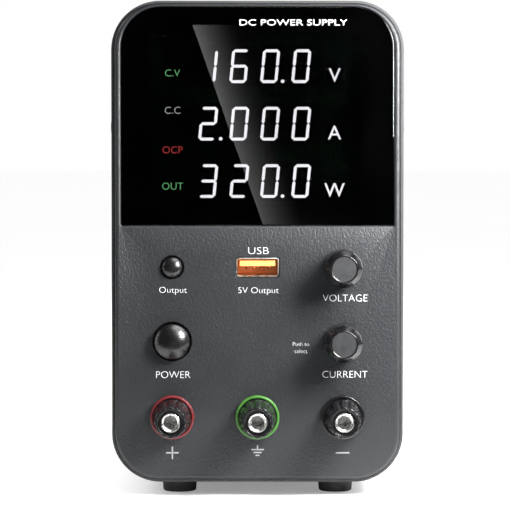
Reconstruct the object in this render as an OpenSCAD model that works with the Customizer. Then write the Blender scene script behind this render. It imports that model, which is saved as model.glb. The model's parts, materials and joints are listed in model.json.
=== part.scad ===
// Portable bench power supply: an upright steel case with a moulded front panel, a tinted
// display lens, two push encoders, two buttons, a USB socket, three binding posts, and at the
// back a cooling fan, a mains inlet with its fuse drawer and an input voltage selector.
// X runs to the right, Y to the back and Z up. The origin is under the middle of the object.

/* [Case] */
// Width of the case
body_w = 90; // [88:1:96]
// Height of the case without its feet
body_h = 148.5; // [148:0.5:152]
// Depth from the panel's face to the back edge of the case
body_d = 205; // [203:1:230]
// Outer radius of the four long corners
corner_r = 15; // [13:0.5:16]
// Thickness of the sheet steel
sheet = 0.8; // [0.6:0.1:0.8]
// Height of each rubber foot
foot_h = 4.5; // [3.5:0.5:6]
// Distance between the feet across the case
foot_pitch = 49; // [40:1:52]

/* [Front panel] */
// How far the panel stands in front of the case
panel_proud = 1.6; // [1:0.2:2.4]
// Thickness of the panel's wall
panel_t = 3; // [2.6:0.2:3]
// Width of the display lens
lens_w = 84; // [80:1:84]
// Height of the display lens
lens_h = 67.2; // [64:0.2:68]
// Distance of the outer controls from the middle of the panel
column_x = 26.3; // [25:0.1:28]
// Height of the output button, USB socket and voltage knob above the case's underside
row_1 = 66.6; // [65:0.2:68]
// Height of the power button and current knob above the case's underside
row_2 = 43.7; // [42.5:0.1:45]
// Height of the binding posts above the case's underside
row_3 = 20.3; // [18:0.1:22]

/* [Knobs and buttons] */
// Diameter of the two encoder knobs
knob_d = 11.8; // [11:0.2:13]
// How far a knob's face stands in front of the panel
knob_reach = 14; // [13:0.5:16]
// Push travel of an encoder
knob_travel = 0.5; // [0.3:0.1:0.6]
// Diameter of the power button
power_d = 10.8; // [10:0.2:11]
// Diameter of the output button
output_d = 6.2; // [6:0.2:6.6]

/* [Binding posts] */
// How far a post's cap stands in front of the panel
post_reach = 17; // [16:0.5:20]
// Diameter of the banana socket
socket_d = 4; // [4:0.05:4.1]
// Outer diameter of the metal stud
stud_d = 5.8; // [5.6:0.1:5.8]
// Diameter of the coloured collar
collar_d = 13.5; // [13:0.5:15]

/* [Back] */
// Size of the square cooling fan
fan_size = 60; // [50, 60]
// Height of the fan's axis above the case's underside
fan_height = 104; // [102:1:106]
// Height of the mains inlet above the case's underside
inlet_height = 32; // [31:1:33]
// How far the fan guard stands behind the case
rear_reach = 2.5; // [2.5:0.5:4]

/* [Hidden] */
$fn = 48;
GAP = 0.05;            // running and assembly clearance
total_d = post_reach + body_d + rear_reach;
face_y = post_reach - total_d / 2;       // face of the front panel
case_y0 = face_y + panel_proud;          // front edge of the case
case_y1 = face_y + body_d;               // back edge of the case
rear_y = case_y1 - 2;                    // outside of the rear panel
rear_t = 1;                              // thickness of the rear panel
row_1_z = foot_h + row_1;
row_2_z = foot_h + row_2;
row_3_z = foot_h + row_3;
fan_z = foot_h + fan_height;
inlet_z = foot_h + inlet_height;
mid_z = foot_h + body_h / 2;             // middle of the case
top_z = foot_h + body_h;
seam_z = foot_h + 18;                    // joint between cover and tray
panel_w = body_w - 2 * sheet - 0.4;
panel_h = body_h - 2 * sheet - 0.4;
panel_r = corner_r - sheet - 0.2;
lens_top = top_z - 1.9;
lens_mid = lens_top - lens_h / 2;
lens_r = corner_r - 2.5;
lens_t = 2;
lens_sink = 0.15;                        // the lens lies this far below the face
window_w = 66;                           // opening in the panel behind the lens
window_h = 53;
control_y = face_y + 14;                 // front of the control board
display_y = face_y + 12;                 // front of the display board
module_y = face_y + 4.2;                 // front of the light modules
front_board_w = 81;
frame_depth = 8;                         // frame behind the panel's wall
frame_t = 2;
board_t = 1.6;
board_z = foot_h + sheet + 6;            // underside of the power board
board_top = board_z + board_t;
board_y0 = face_y + 28;
board_y1 = face_y + 178;
board_spots = [for (s = [-1, 1], y = [board_y0 + 6, board_y1 - 6]) [s * 27, y]];
board_hole_r = 1.3;
screw_r = 1.5;                           // M3 screws
screw_head_r = 2.75;
screw_head_h = 1.1;
foot_r = 5.5;
foot_y = [face_y + 16, face_y + 182];
foot_spots = [for (s = [-1, 1], y = foot_y) [s * foot_pitch / 2, y]];
side_screw_z = foot_h + 110;
front_screw_y = face_y + 20;
rear_screw_y = rear_y - 8;
rear_screw_z = [foot_h + 115, foot_h + 41];
tray_screw_y = [face_y + 34, face_y + 174];
tray_screw_z = seam_z + 5;
cover_screws = concat([[front_screw_y, side_screw_z]],
    [for (y = tray_screw_y) [y, tray_screw_z]], [for (z = rear_screw_z) [rear_screw_y, z]]);
flange_gap = 0.1;                        // between the tray's flange and the cover
flange_rise = 10;                        // height of the flange above the seam
vent_w = 5;                              // slots in the sides
vent_h = 28;
vent_rows = [foot_h + 58, foot_h + 96];
vent_columns = [for (k = [0 : 6]) face_y + 96 + 11 * k];
floor_vents = [for (k = [0 : 7]) face_y + 61.5 + 9 * k];
fan_hole = fan_size / 2 - 5;             // half of the fan's hole pitch
fan_bore = fan_size / 2 - 1.5;
fan_t = 20;
fan_y = rear_y - rear_t - fan_t;         // front of the fan
fan_hub_r = 13;
eyelet_t = 2.2;                          // the guard's mounting eyes
fan_axle_r = 1.5;
fan_corners = [for (x = [-1, 1], z = [-1, 1]) [x * fan_hole, fan_z + z * fan_hole]];
washer_t = 0.8;
collar_t = 2.2;
cap_rear_y = face_y - collar_t - washer_t;
stud_r = stud_d / 2;
socket_depth = 8;                        // straight wall of the banana socket
post_x = [-column_x, 0, column_x];       // positive, earth and negative posts
lug_t = 0.8;                             // solder lugs behind the panel
shaft_reach = 12;                        // encoder shafts in front of the panel
inlet_flange_t = 2.5;
inlet_mouth_y = rear_y + inlet_flange_t;
inlet_screw_x = 20;
pin_spots = [[-7, 4], [7, 4], [0, 8]];   // inlet pins from the inlet's middle
pin_w = 2;
pin_h = 4;
pin_end_y = rear_y - 28;
drawer_z = inlet_z - 10;
selector_z = foot_h + 61;
selector_screw_x = 14.5;
slider_x = -2.75;                        // the slider rests at the left end of its window
lamp_rows = [for (h = [126.5, 115, 102.8, 91.6]) foot_h + h];   // the four indicator lamps
digit_rows = [for (h = [128.5, 110.8, 93.1]) foot_h + h];       // the three readings

STEEL = [0.16, 0.16, 0.17];
PLASTIC = [0.22, 0.23, 0.24];
BLACK = [0.03, 0.03, 0.03];
METAL = [0.8, 0.8, 0.82];
BRASS = [0.75, 0.62, 0.35];
GREEN_BOARD = [0.05, 0.3, 0.14];
ORANGE = [0.95, 0.45, 0.1];
RED = [0.6, 0.08, 0.08];
GREEN = [0.25, 0.6, 0.2];

// ---------- Shared shapes ----------

// Rectangle with round corners, centred.
module round_rect(w, h, r) {
    square([w - 2 * r, h], center = true);
    square([w, h - 2 * r], center = true);
    for (x = [-1, 1], y = [-1, 1]) translate([x * (w / 2 - r), y * (h / 2 - r)]) circle(r);
}

// Extrudes a drawing of the X-Z plane from y0 to y0 + t.
module slab(y0, t) {
    translate([0, y0 + t, 0]) rotate([90, 0, 0]) linear_extrude(t) children();
}

// Cylinder along Y from y0 to y1, or a cone when it has a second radius.
module rod_y(x, z, y0, y1, r, r2 = -1) {
    translate([x, y0, z]) rotate([-90, 0, 0]) cylinder(h = y1 - y0, r1 = r, r2 = r2 < 0 ? r : r2);
}

// Box from its low corner to its high corner.
module span(a, b) {
    translate(a) cube([b[0] - a[0], b[1] - a[1], b[2] - a[2]]);
}

// Box along Y with its middle at x and z.
module bar_y(x, z, y0, y1, w, h) {
    span([x - w / 2, y0, z - h / 2], [x + w / 2, y1, z + h / 2]);
}

// Box whose x range is measured outwards from the middle plane, on the side that s gives.
module side_box(s, x, y, z) {
    span([min(s * x[0], s * x[1]), y[0], z[0]], [max(s * x[0], s * x[1]), y[1], z[1]]);
}

// Slot with round ends through the side wall of the case, its middle at y and z.
module side_vent(s, y, z) {
    straight = (vent_h - vent_w) / 2;
    side_box(s, [body_w / 2 - 3, body_w / 2 + 3], [y - vent_w / 2, y + vent_w / 2],
        [z - straight, z + straight]);
    for (end = [-1, 1]) translate([s * body_w / 2, y, z + end * straight]) rotate([0, 90, 0])
        cylinder(h = 6, r = vent_w / 2, center = true);
}

// Pan-head M3 screw that points down, with its head's underside at the origin.
module m3_screw(length) {
    difference() {
        union() {
            cylinder(h = screw_head_h, r = screw_head_r);
            translate([0, 0, -length]) cylinder(h = length + 0.5, r = screw_r);
        }
        cross_recess(screw_head_h, 2.8, 0.6, 0.8);
    }
}

// Screw for the fan, in the same position.
module fan_screw() difference() {
    union() {
        cylinder(h = 1.8, r = 3.1);
        translate([0, 0, -12]) cylinder(h = 12.5, r = 2.1);
    }
    cross_recess(1.8, 3.4, 0.8, 0.9);
}

// Cross in a screw's head, cut down from its top.
module cross_recess(top, length, width, depth) {
    for (a = [0, 90]) translate([0, 0, top]) rotate([0, 0, a])
        cube([length, width, 2 * depth], center = true);
}

// Small board screw that points down, with its head's underside at the origin.
module board_screw() {
    cylinder(h = 1.4, r = 2.2);
    translate([0, 0, -5]) cylinder(h = 5.2, r = 1.2);
}

// A round lead through the points of a route.
function unit(v) = v / norm(v);
function tangent(p, i) = unit(p[min(i + 1, len(p) - 1)] - p[max(i - 1, 0)]);
module lead(route, r, sides = 8) {
    n = len(route);
    rings = [for (i = [0 : n - 1])
        let (t = tangent(route, i), a = unit(cross(t, [0.31, 0.22, 0.93])), b = cross(t, a))
            for (k = [0 : sides - 1]) route[i] + r * (cos(k * 360 / sides) * a + sin(k * 360 / sides) * b)];
    walls = [for (i = [0 : n - 2], k = [0 : sides - 1])
        let (k2 = (k + 1) % sides, lo = i * sides, hi = (i + 1) * sides)
            each [[lo + k, lo + k2, hi + k2], [lo + k, hi + k2, hi + k]]];
    start = [[for (k = [sides - 1 : -1 : 0]) k]];
    end = [[for (k = [0 : sides - 1]) (n - 1) * sides + k]];
    polyhedron(points = rings, faces = concat(walls, start, end));
}

// ---------- Case ----------

// The wrapped sheet of the case, before it is divided into cover and tray.
module sleeve() {
    difference() {
        translate([0, 0, mid_z]) slab(case_y0, case_y1 - case_y0) round_rect(body_w, body_h, corner_r);
        translate([0, 0, mid_z]) slab(case_y0 - 1, case_y1 - case_y0 + 2)
            round_rect(body_w - 2 * sheet, body_h - 2 * sheet, corner_r - sheet);
    }
}

module side_screw_holes(rows) {
    for (row = rows, s = [-1, 1]) translate([s * body_w / 2, row[0], row[1]]) rotate([0, 90, 0])
        cylinder(h = 12, r = screw_r + GAP, center = true);
}

module upper_cover() color(STEEL) difference() {
    sleeve();
    span([-body_w, case_y0 - 2, -1], [body_w, case_y1 + 2, seam_z]);
    side_screw_holes(cover_screws);
    for (s = [-1, 1], y = vent_columns, z = vent_rows) side_vent(s, y, z);
}

// Flange of the tray that stands inside the cover, with the root that joins it to the tray's wall.
module tray_flange(s) {
    wall_x = body_w / 2 - sheet;
    along = [face_y + 24, case_y1 - 20];
    foot = foot_h + corner_r;
    side_box(s, [wall_x - flange_gap - sheet, wall_x - flange_gap], along, [foot, seam_z + flange_rise]);
    side_box(s, [wall_x - flange_gap - 0.05, wall_x + 0.05], along, [foot, seam_z - GAP]);
}

module lower_tray() color(STEEL) difference() {
    union() {
        intersection() {
            sleeve();
            span([-body_w, case_y0 - 2, 0], [body_w, case_y1 + 2, seam_z - GAP]);
        }
        for (s = [-1, 1]) tray_flange(s);
    }
    side_screw_holes([for (y = tray_screw_y) [y, tray_screw_z]]);
    for (p = foot_spots) translate([p[0], p[1], foot_h - 1]) cylinder(h = 4, r = screw_r + GAP);
    for (p = board_spots) translate([p[0], p[1], foot_h - 1]) cylinder(h = 4, r = board_hole_r);
    for (y = floor_vents) span([-16, y - 1.5, foot_h - 1], [16, y + 1.5, foot_h + 3]);
}

module rear_panel() color(STEEL) {
    cut = [rear_y - 3, rear_y + 1];
    difference() {
        union() {
            translate([0, 0, mid_z]) slab(rear_y - rear_t, rear_t) round_rect(panel_w, panel_h, panel_r);
            for (s = [-1, 1])
                side_box(s, [panel_w / 2 - rear_t, panel_w / 2], [rear_y - 14, rear_y],
                    [foot_h + 30, foot_h + 126]);
        }
        rod_y(0, fan_z, cut[0], cut[1], fan_bore);
        for (c = fan_corners) rod_y(c[0], c[1], cut[0], cut[1], 2.25);
        bar_y(0, inlet_z, cut[0], cut[1], 27.8, 31.4);
        bar_y(0, selector_z, cut[0], cut[1], 19, 9);
        for (s = [-1, 1]) rod_y(s * inlet_screw_x, inlet_z, cut[0], cut[1], screw_r + GAP);
        for (s = [-1, 1]) rod_y(s * selector_screw_x, selector_z, cut[0], cut[1], screw_r + GAP);
        side_screw_holes([for (z = rear_screw_z) [rear_screw_y, z]]);
    }
}

module feet() color(BLACK) for (p = foot_spots) translate([p[0], p[1], 0]) difference() {
    chamfer = 0.6;
    union() {
        cylinder(h = chamfer, r1 = foot_r - chamfer, r2 = foot_r);
        translate([0, 0, chamfer]) cylinder(h = foot_h - chamfer, r = foot_r);
    }
    translate([0, 0, -1]) cylinder(h = foot_h - 0.5, r = 3.1);
    translate([0, 0, -1]) cylinder(h = foot_h + 2, r = screw_r + GAP);
}

module case_screws() color(METAL) {
    for (c = cover_screws, s = [-1, 1]) translate([s * body_w / 2, c[0], c[1]]) rotate([0, s * 90, 0])
        m3_screw(5);
    for (p = foot_spots) translate([p[0], p[1], foot_h - 1.5]) rotate([180, 0, 0]) m3_screw(5);
    for (s = [-1, 1]) translate([s * inlet_screw_x, inlet_mouth_y, inlet_z]) rotate([-90, 0, 0]) m3_screw(5);
    for (s = [-1, 1]) translate([s * selector_screw_x, rear_y + 1, selector_z]) rotate([-90, 0, 0])
        m3_screw(5);
    for (c = fan_corners) translate([c[0], rear_y + eyelet_t, c[1]]) rotate([-90, 0, 0]) fan_screw();
}

// ---------- Front panel ----------

// Outline of the lens: large round corners above, square corners below.
module lens_outline(clear) {
    w = lens_w + 2 * clear;
    h = lens_h + 2 * clear;
    r = lens_r + clear;
    translate([-w / 2, lens_mid - h / 2]) square([w, h - r]);
    translate([-w / 2 + r, lens_mid - h / 2]) square([w - 2 * r, h]);
    for (s = [-1, 1]) translate([s * (w / 2 - r), lens_mid + h / 2 - r]) circle(r);
}

// Standoffs that carry the display board and the control board, as [x, z].
display_spots = [for (x = [-37, 37], z = [lens_mid - 25, lens_mid + 21]) [x, z]];
control_spots = [for (x = [-37, 37], z = [row_1_z + 6, row_2_z - 8]) [x, z]];

// Hole for a button of radius r, with a chamfered mouth.
module button_hole(z, r) {
    rod_y(-column_x, z, face_y - 1, face_y + 5, r + 0.25);
    rod_y(-column_x, z, face_y - 0.01, face_y + 0.5, r + 0.65, r + 0.15);
}

module front_panel() color(PLASTIC) difference() {
    translate([0, 0, mid_z]) slab(face_y, panel_t) round_rect(panel_w, panel_h, panel_r);
    slab(face_y - 1, 1 + lens_sink + lens_t + GAP) lens_outline(0.1);
    bar_y(0, lens_mid - 1, face_y, face_y + 5, window_w, window_h);
    button_hole(row_1_z, output_d / 2);
    button_hole(row_2_z, power_d / 2);
    for (z = [row_1_z, row_2_z]) rod_y(column_x, z, face_y - 1, face_y + 5, 3.6);
    for (x = post_x) rod_y(x, row_3_z, face_y - 1, face_y + 5, 4);
    bar_y(0, row_1_z, face_y - 1, face_y + 5, 13.6, 6.2);
}

// Frame that carries the panel inside the case, with a tab at each side for the front screws.
module panel_frame() color(PLASTIC) {
    front = face_y + panel_t;
    difference() {
        union() {
            difference() {
                translate([0, 0, mid_z]) slab(front, frame_depth) round_rect(panel_w, panel_h, panel_r);
                translate([0, 0, mid_z]) slab(front - 1, frame_depth + 2)
                    round_rect(panel_w - 2 * frame_t, panel_h - 2 * frame_t, panel_r - frame_t);
            }
            for (s = [-1, 1]) side_box(s, [panel_w / 2 - 3, panel_w / 2], [front, face_y + 26],
                [side_screw_z - 5, side_screw_z + 5]);
        }
        side_screw_holes([[front_screw_y, side_screw_z]]);
    }
}

module display_lens() color(BLACK) slab(face_y + lens_sink, lens_t) lens_outline(0);

// ---------- Buttons and their switches ----------

// Domed push button with a retaining flange and a stem.
module push_button(x, z, d, dome, proud, stem_r, stem_end) {
    r = d / 2;
    ball = (r * r + dome * dome) / (2 * dome);
    intersection() {
        translate([x, face_y - proud - dome + ball, z]) sphere(ball);
        rod_y(x, z, face_y - proud - dome - 1, face_y - proud + 0.5, r);
    }
    rod_y(x, z, face_y - proud, face_y + panel_t + 0.3, r);
    rod_y(x, z, face_y + panel_t + 0.2, face_y + panel_t + 1.1, r + 1);
    rod_y(x, z, face_y + panel_t + 1, stem_end, stem_r);
}

module output_button() color(BLACK) push_button(-column_x, row_1_z, output_d, 1.4, 0.7, 1.5, face_y + 11);

module power_button() color(BLACK) push_button(-column_x, row_2_z, power_d, 2.4, 2.2, 1.9, face_y + 9.5);

module output_switch() color(BLACK) difference() {
    bar_y(-column_x, row_1_z, control_y - 3.8, control_y, 6.2, 6.2);
    rod_y(-column_x, row_1_z, control_y - 5, control_y - 1.4, 1.5 + GAP);
}

module power_switch() color(BLACK) difference() {
    bar_y(-column_x, row_2_z, control_y - 6, control_y, 11, 11);
    rod_y(-column_x, row_2_z, control_y - 7, control_y - 0.8, 1.9 + GAP);
}

// ---------- Push encoders ----------

module encoder_body(z) color(METAL) difference() {
    union() {
        bar_y(column_x, z, control_y - 6.5, control_y, 12, 12);
        rod_y(column_x, z, face_y - 4, control_y - 6, 3.5);
    }
    rod_y(column_x, z, face_y - 5, control_y - 4, 3 + GAP);
    rod_y(column_x, z, control_y - 4.8, control_y - 0.6, 5);
}

module encoder_rotor(z) color(BRASS) difference() {
    rod_y(column_x, z, control_y - 4.6, control_y - 2.2, 4.8);
    rod_y(column_x, z, control_y - 6, control_y, 3 + GAP);
}

module encoder_shaft(z) color(METAL)
    rod_y(column_x, z, face_y - shaft_reach, control_y - 0.9 - knob_travel, 3);

module encoder_knob(z) color(PLASTIC) {
    r = knob_d / 2;
    bevel = 2.2;
    front = face_y - knob_reach;
    flute_r = 2;
    difference() {
        union() {
            rod_y(column_x, z, front, front + bevel, r - 1.7, r);
            rod_y(column_x, z, front + bevel, face_y - 1.2, r);
        }
        for (k = [0 : 11]) translate([column_x, 0, z]) rotate([0, 30 * k, 0])
            rod_y(r + flute_r - 0.25, 0, front - 1, face_y, flute_r);
        rod_y(column_x, z, face_y - 6, face_y, 4.4);
        rod_y(column_x, z, face_y - shaft_reach - 0.01, face_y - 5, 3.01);
    }
}

// ---------- USB socket ----------

module usb_shell() color(METAL) difference() {
    bar_y(0, row_1_z, face_y - 0.2, control_y, 13.1, 5.7);
    bar_y(0, row_1_z, face_y - 1, control_y - 0.6, 12.5, 5.1);
}

module usb_tongue() color(ORANGE) {
    bar_y(0, row_1_z, control_y - 4, control_y - 0.65, 12.4, 5);
    bar_y(0, row_1_z + 1.2, face_y + 0.6, control_y - 3, 11.1, 1.8);
}

module usb_contacts() color(BRASS) for (k = [0 : 3])
    bar_y(-3.45 + 2.3 * k, row_1_z + 0.17, face_y + 1.2, control_y - 4.05, 1, 0.2);

// ---------- Binding posts ----------

module post_collar(x, tint) color(tint) difference() {
    union() {
        rod_y(x, row_3_z, face_y - collar_t, face_y - collar_t + 0.5, collar_d / 2 - 0.5, collar_d / 2);
        rod_y(x, row_3_z, face_y - collar_t + 0.5, face_y - GAP, collar_d / 2);
        rod_y(x, row_3_z, face_y - 0.5, face_y + panel_t, 4 - GAP);
    }
    rod_y(x, row_3_z, face_y - 6, face_y + 6, 2 + GAP);
}

module post_stud(x) color(METAL) {
    front = face_y - post_reach + 0.3;
    chamfer = 0.5;
    difference() {
        union() {
            rod_y(x, row_3_z, front, face_y - collar_t, stud_r);
            rod_y(x, row_3_z, face_y - collar_t - 0.5, face_y + 16, 2);
        }
        rod_y(x, row_3_z, front - 1, front + chamfer + socket_depth, socket_d / 2);
        rod_y(x, row_3_z, front - 0.01, front + chamfer, socket_d / 2 + chamfer, socket_d / 2);
    }
}

module clamp_washer(x) color(METAL) difference() {
    rod_y(x, row_3_z, face_y - collar_t - washer_t, face_y - collar_t, 4.4);
    rod_y(x, row_3_z, face_y - 10, face_y, stud_r + GAP);
}

module post_cap(x) color(BLACK) {
    front_y = face_y - post_reach;
    rear_r = 5.8;
    front_r = 4.75;
    flute_r = 1.35;
    lean = atan((rear_r - front_r) / (cap_rear_y - front_y));
    difference() {
        rod_y(x, row_3_z, front_y, cap_rear_y, front_r, rear_r);
        for (k = [0 : 11]) translate([x, 0, row_3_z]) rotate([0, 30 * k + 15, 0])
            translate([front_r + flute_r - 0.45, front_y, 0]) rotate([-90, 0, -lean]) translate([0, 0, -1])
                cylinder(h = cap_rear_y - front_y - 0.4, r = flute_r);
        rod_y(x, row_3_z, front_y - 1, cap_rear_y + 1, stud_r + GAP);
        rod_y(x, row_3_z, front_y - 1, front_y + 3, stud_r + 0.25);
    }
}

module post_nuts() color(BRASS) for (x = post_x) difference() {
    translate([x, face_y + panel_t + lug_t, row_3_z]) rotate([-90, 0, 0])
        cylinder(h = 3.2, r = 4.04, $fn = 6);
    rod_y(x, row_3_z, face_y, face_y + 12, 2 + GAP);
}

module solder_lugs() color(METAL) for (x = post_x) difference() {
    union() {
        rod_y(x, row_3_z, face_y + panel_t, face_y + panel_t + lug_t, 4);
        bar_y(x, row_3_z - 6, face_y + panel_t, face_y + panel_t + lug_t, 3, 9);
    }
    rod_y(x, row_3_z, face_y, face_y + 12, 2 + GAP);
}

// ---------- Front boards ----------

module display_board() color(GREEN_BOARD) difference() {
    bar_y(0, lens_mid - 2, display_y, display_y + board_t, front_board_w, 54);
    for (b = display_spots) rod_y(b[0], b[1], display_y - 1, display_y + 4, board_hole_r);
}

module led_modules() color(BLACK) {
    for (z = digit_rows) {
        bar_y(-0.9, z, module_y, display_y, 40.2, 12.8);
        bar_y(23.8, z - 2.5, module_y, display_y, 6, 6);
    }
    for (z = lamp_rows) bar_y(-26.2, z, module_y, display_y, 6.4, 3.4);
}

module control_board() color(GREEN_BOARD) difference() {
    half_w = front_board_w / 2;
    span([-half_w, control_y, row_2_z - 13], [half_w, control_y + board_t, row_1_z + 9]);
    for (b = control_spots) rod_y(b[0], b[1], control_y - 1, control_y + 4, board_hole_r);
}

module board_screws() color(METAL) {
    for (b = display_spots) translate([b[0], display_y + board_t, b[1]]) rotate([-90, 0, 0]) board_screw();
    for (b = control_spots) translate([b[0], control_y + board_t, b[1]]) rotate([-90, 0, 0]) board_screw();
    for (p = board_spots) translate([p[0], p[1], board_top]) board_screw();
}

// ---------- Power board ----------

module power_board() color(GREEN_BOARD) difference() {
    span([-37, board_y0, board_z], [37, board_y1, board_top]);
    for (p = board_spots) translate([p[0], p[1], board_z - 1]) cylinder(h = 4, r = board_hole_r);
}

// Hexagonal standoff with a threaded bore.
module standoff(height) difference() {
    cylinder(h = height, r = 3.2, $fn = 6);
    translate([0, 0, -1]) cylinder(h = height + 2, r = 1.25);
}

module board_standoffs() color(BRASS) {
    back = face_y + panel_t;
    for (p = board_spots) translate([p[0], p[1], foot_h + sheet]) standoff(board_z - foot_h - sheet);
    for (b = display_spots) translate([b[0], back, b[1]]) rotate([-90, 0, 0]) standoff(display_y - back);
    for (b = control_spots) translate([b[0], back, b[1]]) rotate([-90, 0, 0]) standoff(control_y - back);
}

// The ferrite core with two windows, and a winding through each window.
module main_transformer() {
    y = face_y + 112;
    core_w = 42;
    core_t = 32;
    core_h = 40;
    window_x = [7, 17];
    window_z = [board_top + 8, board_top + 32];
    color(BLACK) difference() {
        span([-core_w / 2, y - core_t / 2, board_top], [core_w / 2, y + core_t / 2, board_top + core_h]);
        for (s = [-1, 1]) side_box(s, window_x, [y - core_t, y + core_t], window_z);
    }
    color(BRASS) for (s = [-1, 1]) side_box(s, [window_x[0] + GAP, window_x[1] - GAP],
        [y - core_t / 2 - 4, y + core_t / 2 + 4], [window_z[0] + GAP, window_z[1] - GAP]);
}

// Electrolytic capacitors as [x, y behind the face, radius, height], and a boxed film capacitor.
cans = [[-23, 152, 11, 42], [23, 152, 11, 42], [-22, 46, 6.3, 25], [-7, 46, 6.3, 25], [-22, 62, 5, 20]];
module capacitors() {
    color(BLACK) for (c = cans) translate([c[0], face_y + c[1], board_top]) cylinder(h = c[3], r = c[2]);
    color(ORANGE) span([-9, face_y + 160, board_top], [9, face_y + 168, board_top + 15]);
}

// Two finned plates; the transistors are clamped to their inner faces.
plate_x = [29, 32];
module heatsinks() color(METAL) for (s = [-1, 1]) {
    front = face_y + 66;
    plate_top = board_top + 76;
    side_box(s, plate_x, [front, front + 70], [board_top, plate_top]);
    for (k = [0 : 8]) side_box(s, [plate_x[1] - 0.5, plate_x[1] + 6],
        [front + 1 + 8 * k, front + 2.6 + 8 * k], [board_top + 8, plate_top]);
}

module power_transistors() color(BLACK) for (s = [-1, 1], y = [face_y + 82, face_y + 104])
    side_box(s, [plate_x[0] - 5, plate_x[0]], [y - 8, y + 8], [board_top + 14, board_top + 35]);

module chokes() {
    color(BRASS) translate([16, face_y + 54, board_top]) rotate_extrude() translate([9, 6]) circle(5.5);
    color(BLACK) span([-9, face_y + 146, board_top], [9, face_y + 158, board_top + 22]);
}

// ---------- Wiring ----------

// Flat cable from the control board down to the power board.
module ribbon_cable() color(METAL) {
    z = row_2_z - 8;
    y = face_y + 30;
    bend = 6;
    cable_t = 0.9;
    span([-8, control_y + board_t, z - cable_t], [8, y, z]);
    translate([8, y, z - bend]) rotate([0, -90, 0]) rotate_extrude(angle = 90)
        translate([bend - cable_t, 0]) square([cable_t, 16]);
    span([-8, y + bend - cable_t, board_top], [8, y + bend, z - bend]);
}

// The red and black leads from the solder lugs to the power board.
module output_leads() color(RED) for (s = [-1, 1]) lead([
    [s * column_x, face_y + 3.8, row_3_z - 8.5], [s * column_x, face_y + 9, row_3_z - 8.5],
    [s * 27, face_y + 15, row_3_z - 7.5], [s * 28.5, face_y + 22, row_3_z - 6],
    [s * 31, face_y + 28, row_3_z - 5.5], [s * 32.8, face_y + 32, row_3_z - 6.5],
    [s * 33.4, face_y + 34, row_3_z - 8.5], [s * 33.4, face_y + 34, board_top]], 1.1);

// Leads from the power switch to the inlet and the board, from the inlet to the board, and to the fan.
module power_leads() color(BLACK) {
    lead([[-24, control_y + board_t, row_2_z - 2], [-24, face_y + 20, row_2_z - 2],
        [-27, face_y + 32, row_2_z + 8], [-32, face_y + 44, row_2_z + 28], [-33, face_y + 56, row_2_z + 45],
        [-33, face_y + 72, row_2_z + 50], [-33, face_y + 100, row_2_z + 50], [-33, face_y + 130, row_2_z + 48],
        [-31, face_y + 148, row_2_z + 36], [-24, face_y + 160, row_2_z + 18], [-14, face_y + 166, inlet_z + 14],
        [-8, face_y + 170, inlet_z + 5], [-7, pin_end_y - 1.5, inlet_z + 4],
        [-7, pin_end_y, inlet_z + 4]], 1.1);
    lead([[-30, control_y + board_t, row_2_z - 2], [-30, face_y + 20, row_2_z - 2],
        [-33, face_y + 32, row_2_z + 8], [-37, face_y + 44, row_2_z + 28], [-38, face_y + 56, row_2_z + 45],
        [-38, face_y + 72, row_2_z + 50], [-38, face_y + 100, row_2_z + 50], [-38, face_y + 130, row_2_z + 48],
        [-37, face_y + 148, row_2_z + 36], [-36, face_y + 162, row_2_z + 18], [-35, face_y + 170, inlet_z + 10],
        [-34, face_y + 172, inlet_z - 6], [-34, face_y + 172, board_top]], 1.1);
    lead([[7, pin_end_y, inlet_z + 4], [7, pin_end_y - 1.2, inlet_z + 4], [7, pin_end_y - 3, inlet_z + 3],
        [7, pin_end_y - 4, inlet_z], [7, pin_end_y - 4, board_top]], 1.1);
    fan_foot = fan_z - fan_size / 2;
    for (x = [21, 24]) lead([[x, fan_y, fan_foot + 2], [x, fan_y - 1.5, fan_foot + 2],
        [x, fan_y - 4, fan_foot], [x, fan_y - 8, fan_foot - 8], [x, face_y + 172, fan_foot - 30],
        [x, face_y + 172, board_top]], 0.7);
}

// ---------- Back ----------

module fan_frame() color(BLACK) {
    spoke_w = 4;
    difference() {
        translate([0, 0, fan_z]) slab(fan_y, fan_t) round_rect(fan_size, fan_size, 4);
        rod_y(0, fan_z, fan_y + 2, rear_y, fan_bore);
        difference() {
            rod_y(0, fan_z, fan_y - 1, fan_y + 3, fan_bore);
            rod_y(0, fan_z, fan_y - 2, fan_y + 4, fan_hub_r);
            for (a = [0, 90]) translate([0, 0, fan_z]) rotate([0, a, 0])
                bar_y(0, 0, fan_y - 2, fan_y + 4, fan_size, spoke_w);
        }
        for (c = fan_corners) rod_y(c[0], c[1], fan_y - 1, rear_y + 1, 2.15);
    }
    rod_y(0, fan_z, fan_y + 1, fan_y + 12, fan_axle_r);
}

module fan_rotor() color(PLASTIC) {
    blades = 7;
    blade_t = 1.3;
    root_r = fan_hub_r - 1.5;
    difference() {
        rod_y(0, fan_z, fan_y + 2.6, fan_y + 18.4, fan_hub_r);
        rod_y(0, fan_z, fan_y, fan_y + 12.5, fan_axle_r + GAP);
    }
    for (k = [0 : blades - 1]) intersection() {
        difference() {
            rod_y(0, fan_z, fan_y + 3, fan_y + 18, fan_bore - 1.1);
            rod_y(0, fan_z, fan_y + 2, fan_y + 19, fan_hub_r - 0.2);
        }
        translate([0, fan_y + 10.5, fan_z]) rotate([0, k * 360 / blades, 0])
            translate([(fan_bore + root_r) / 2, 0, 0]) rotate([38, 0, 0])
                cube([fan_bore - root_r, 17, blade_t], center = true);
    }
}

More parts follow.
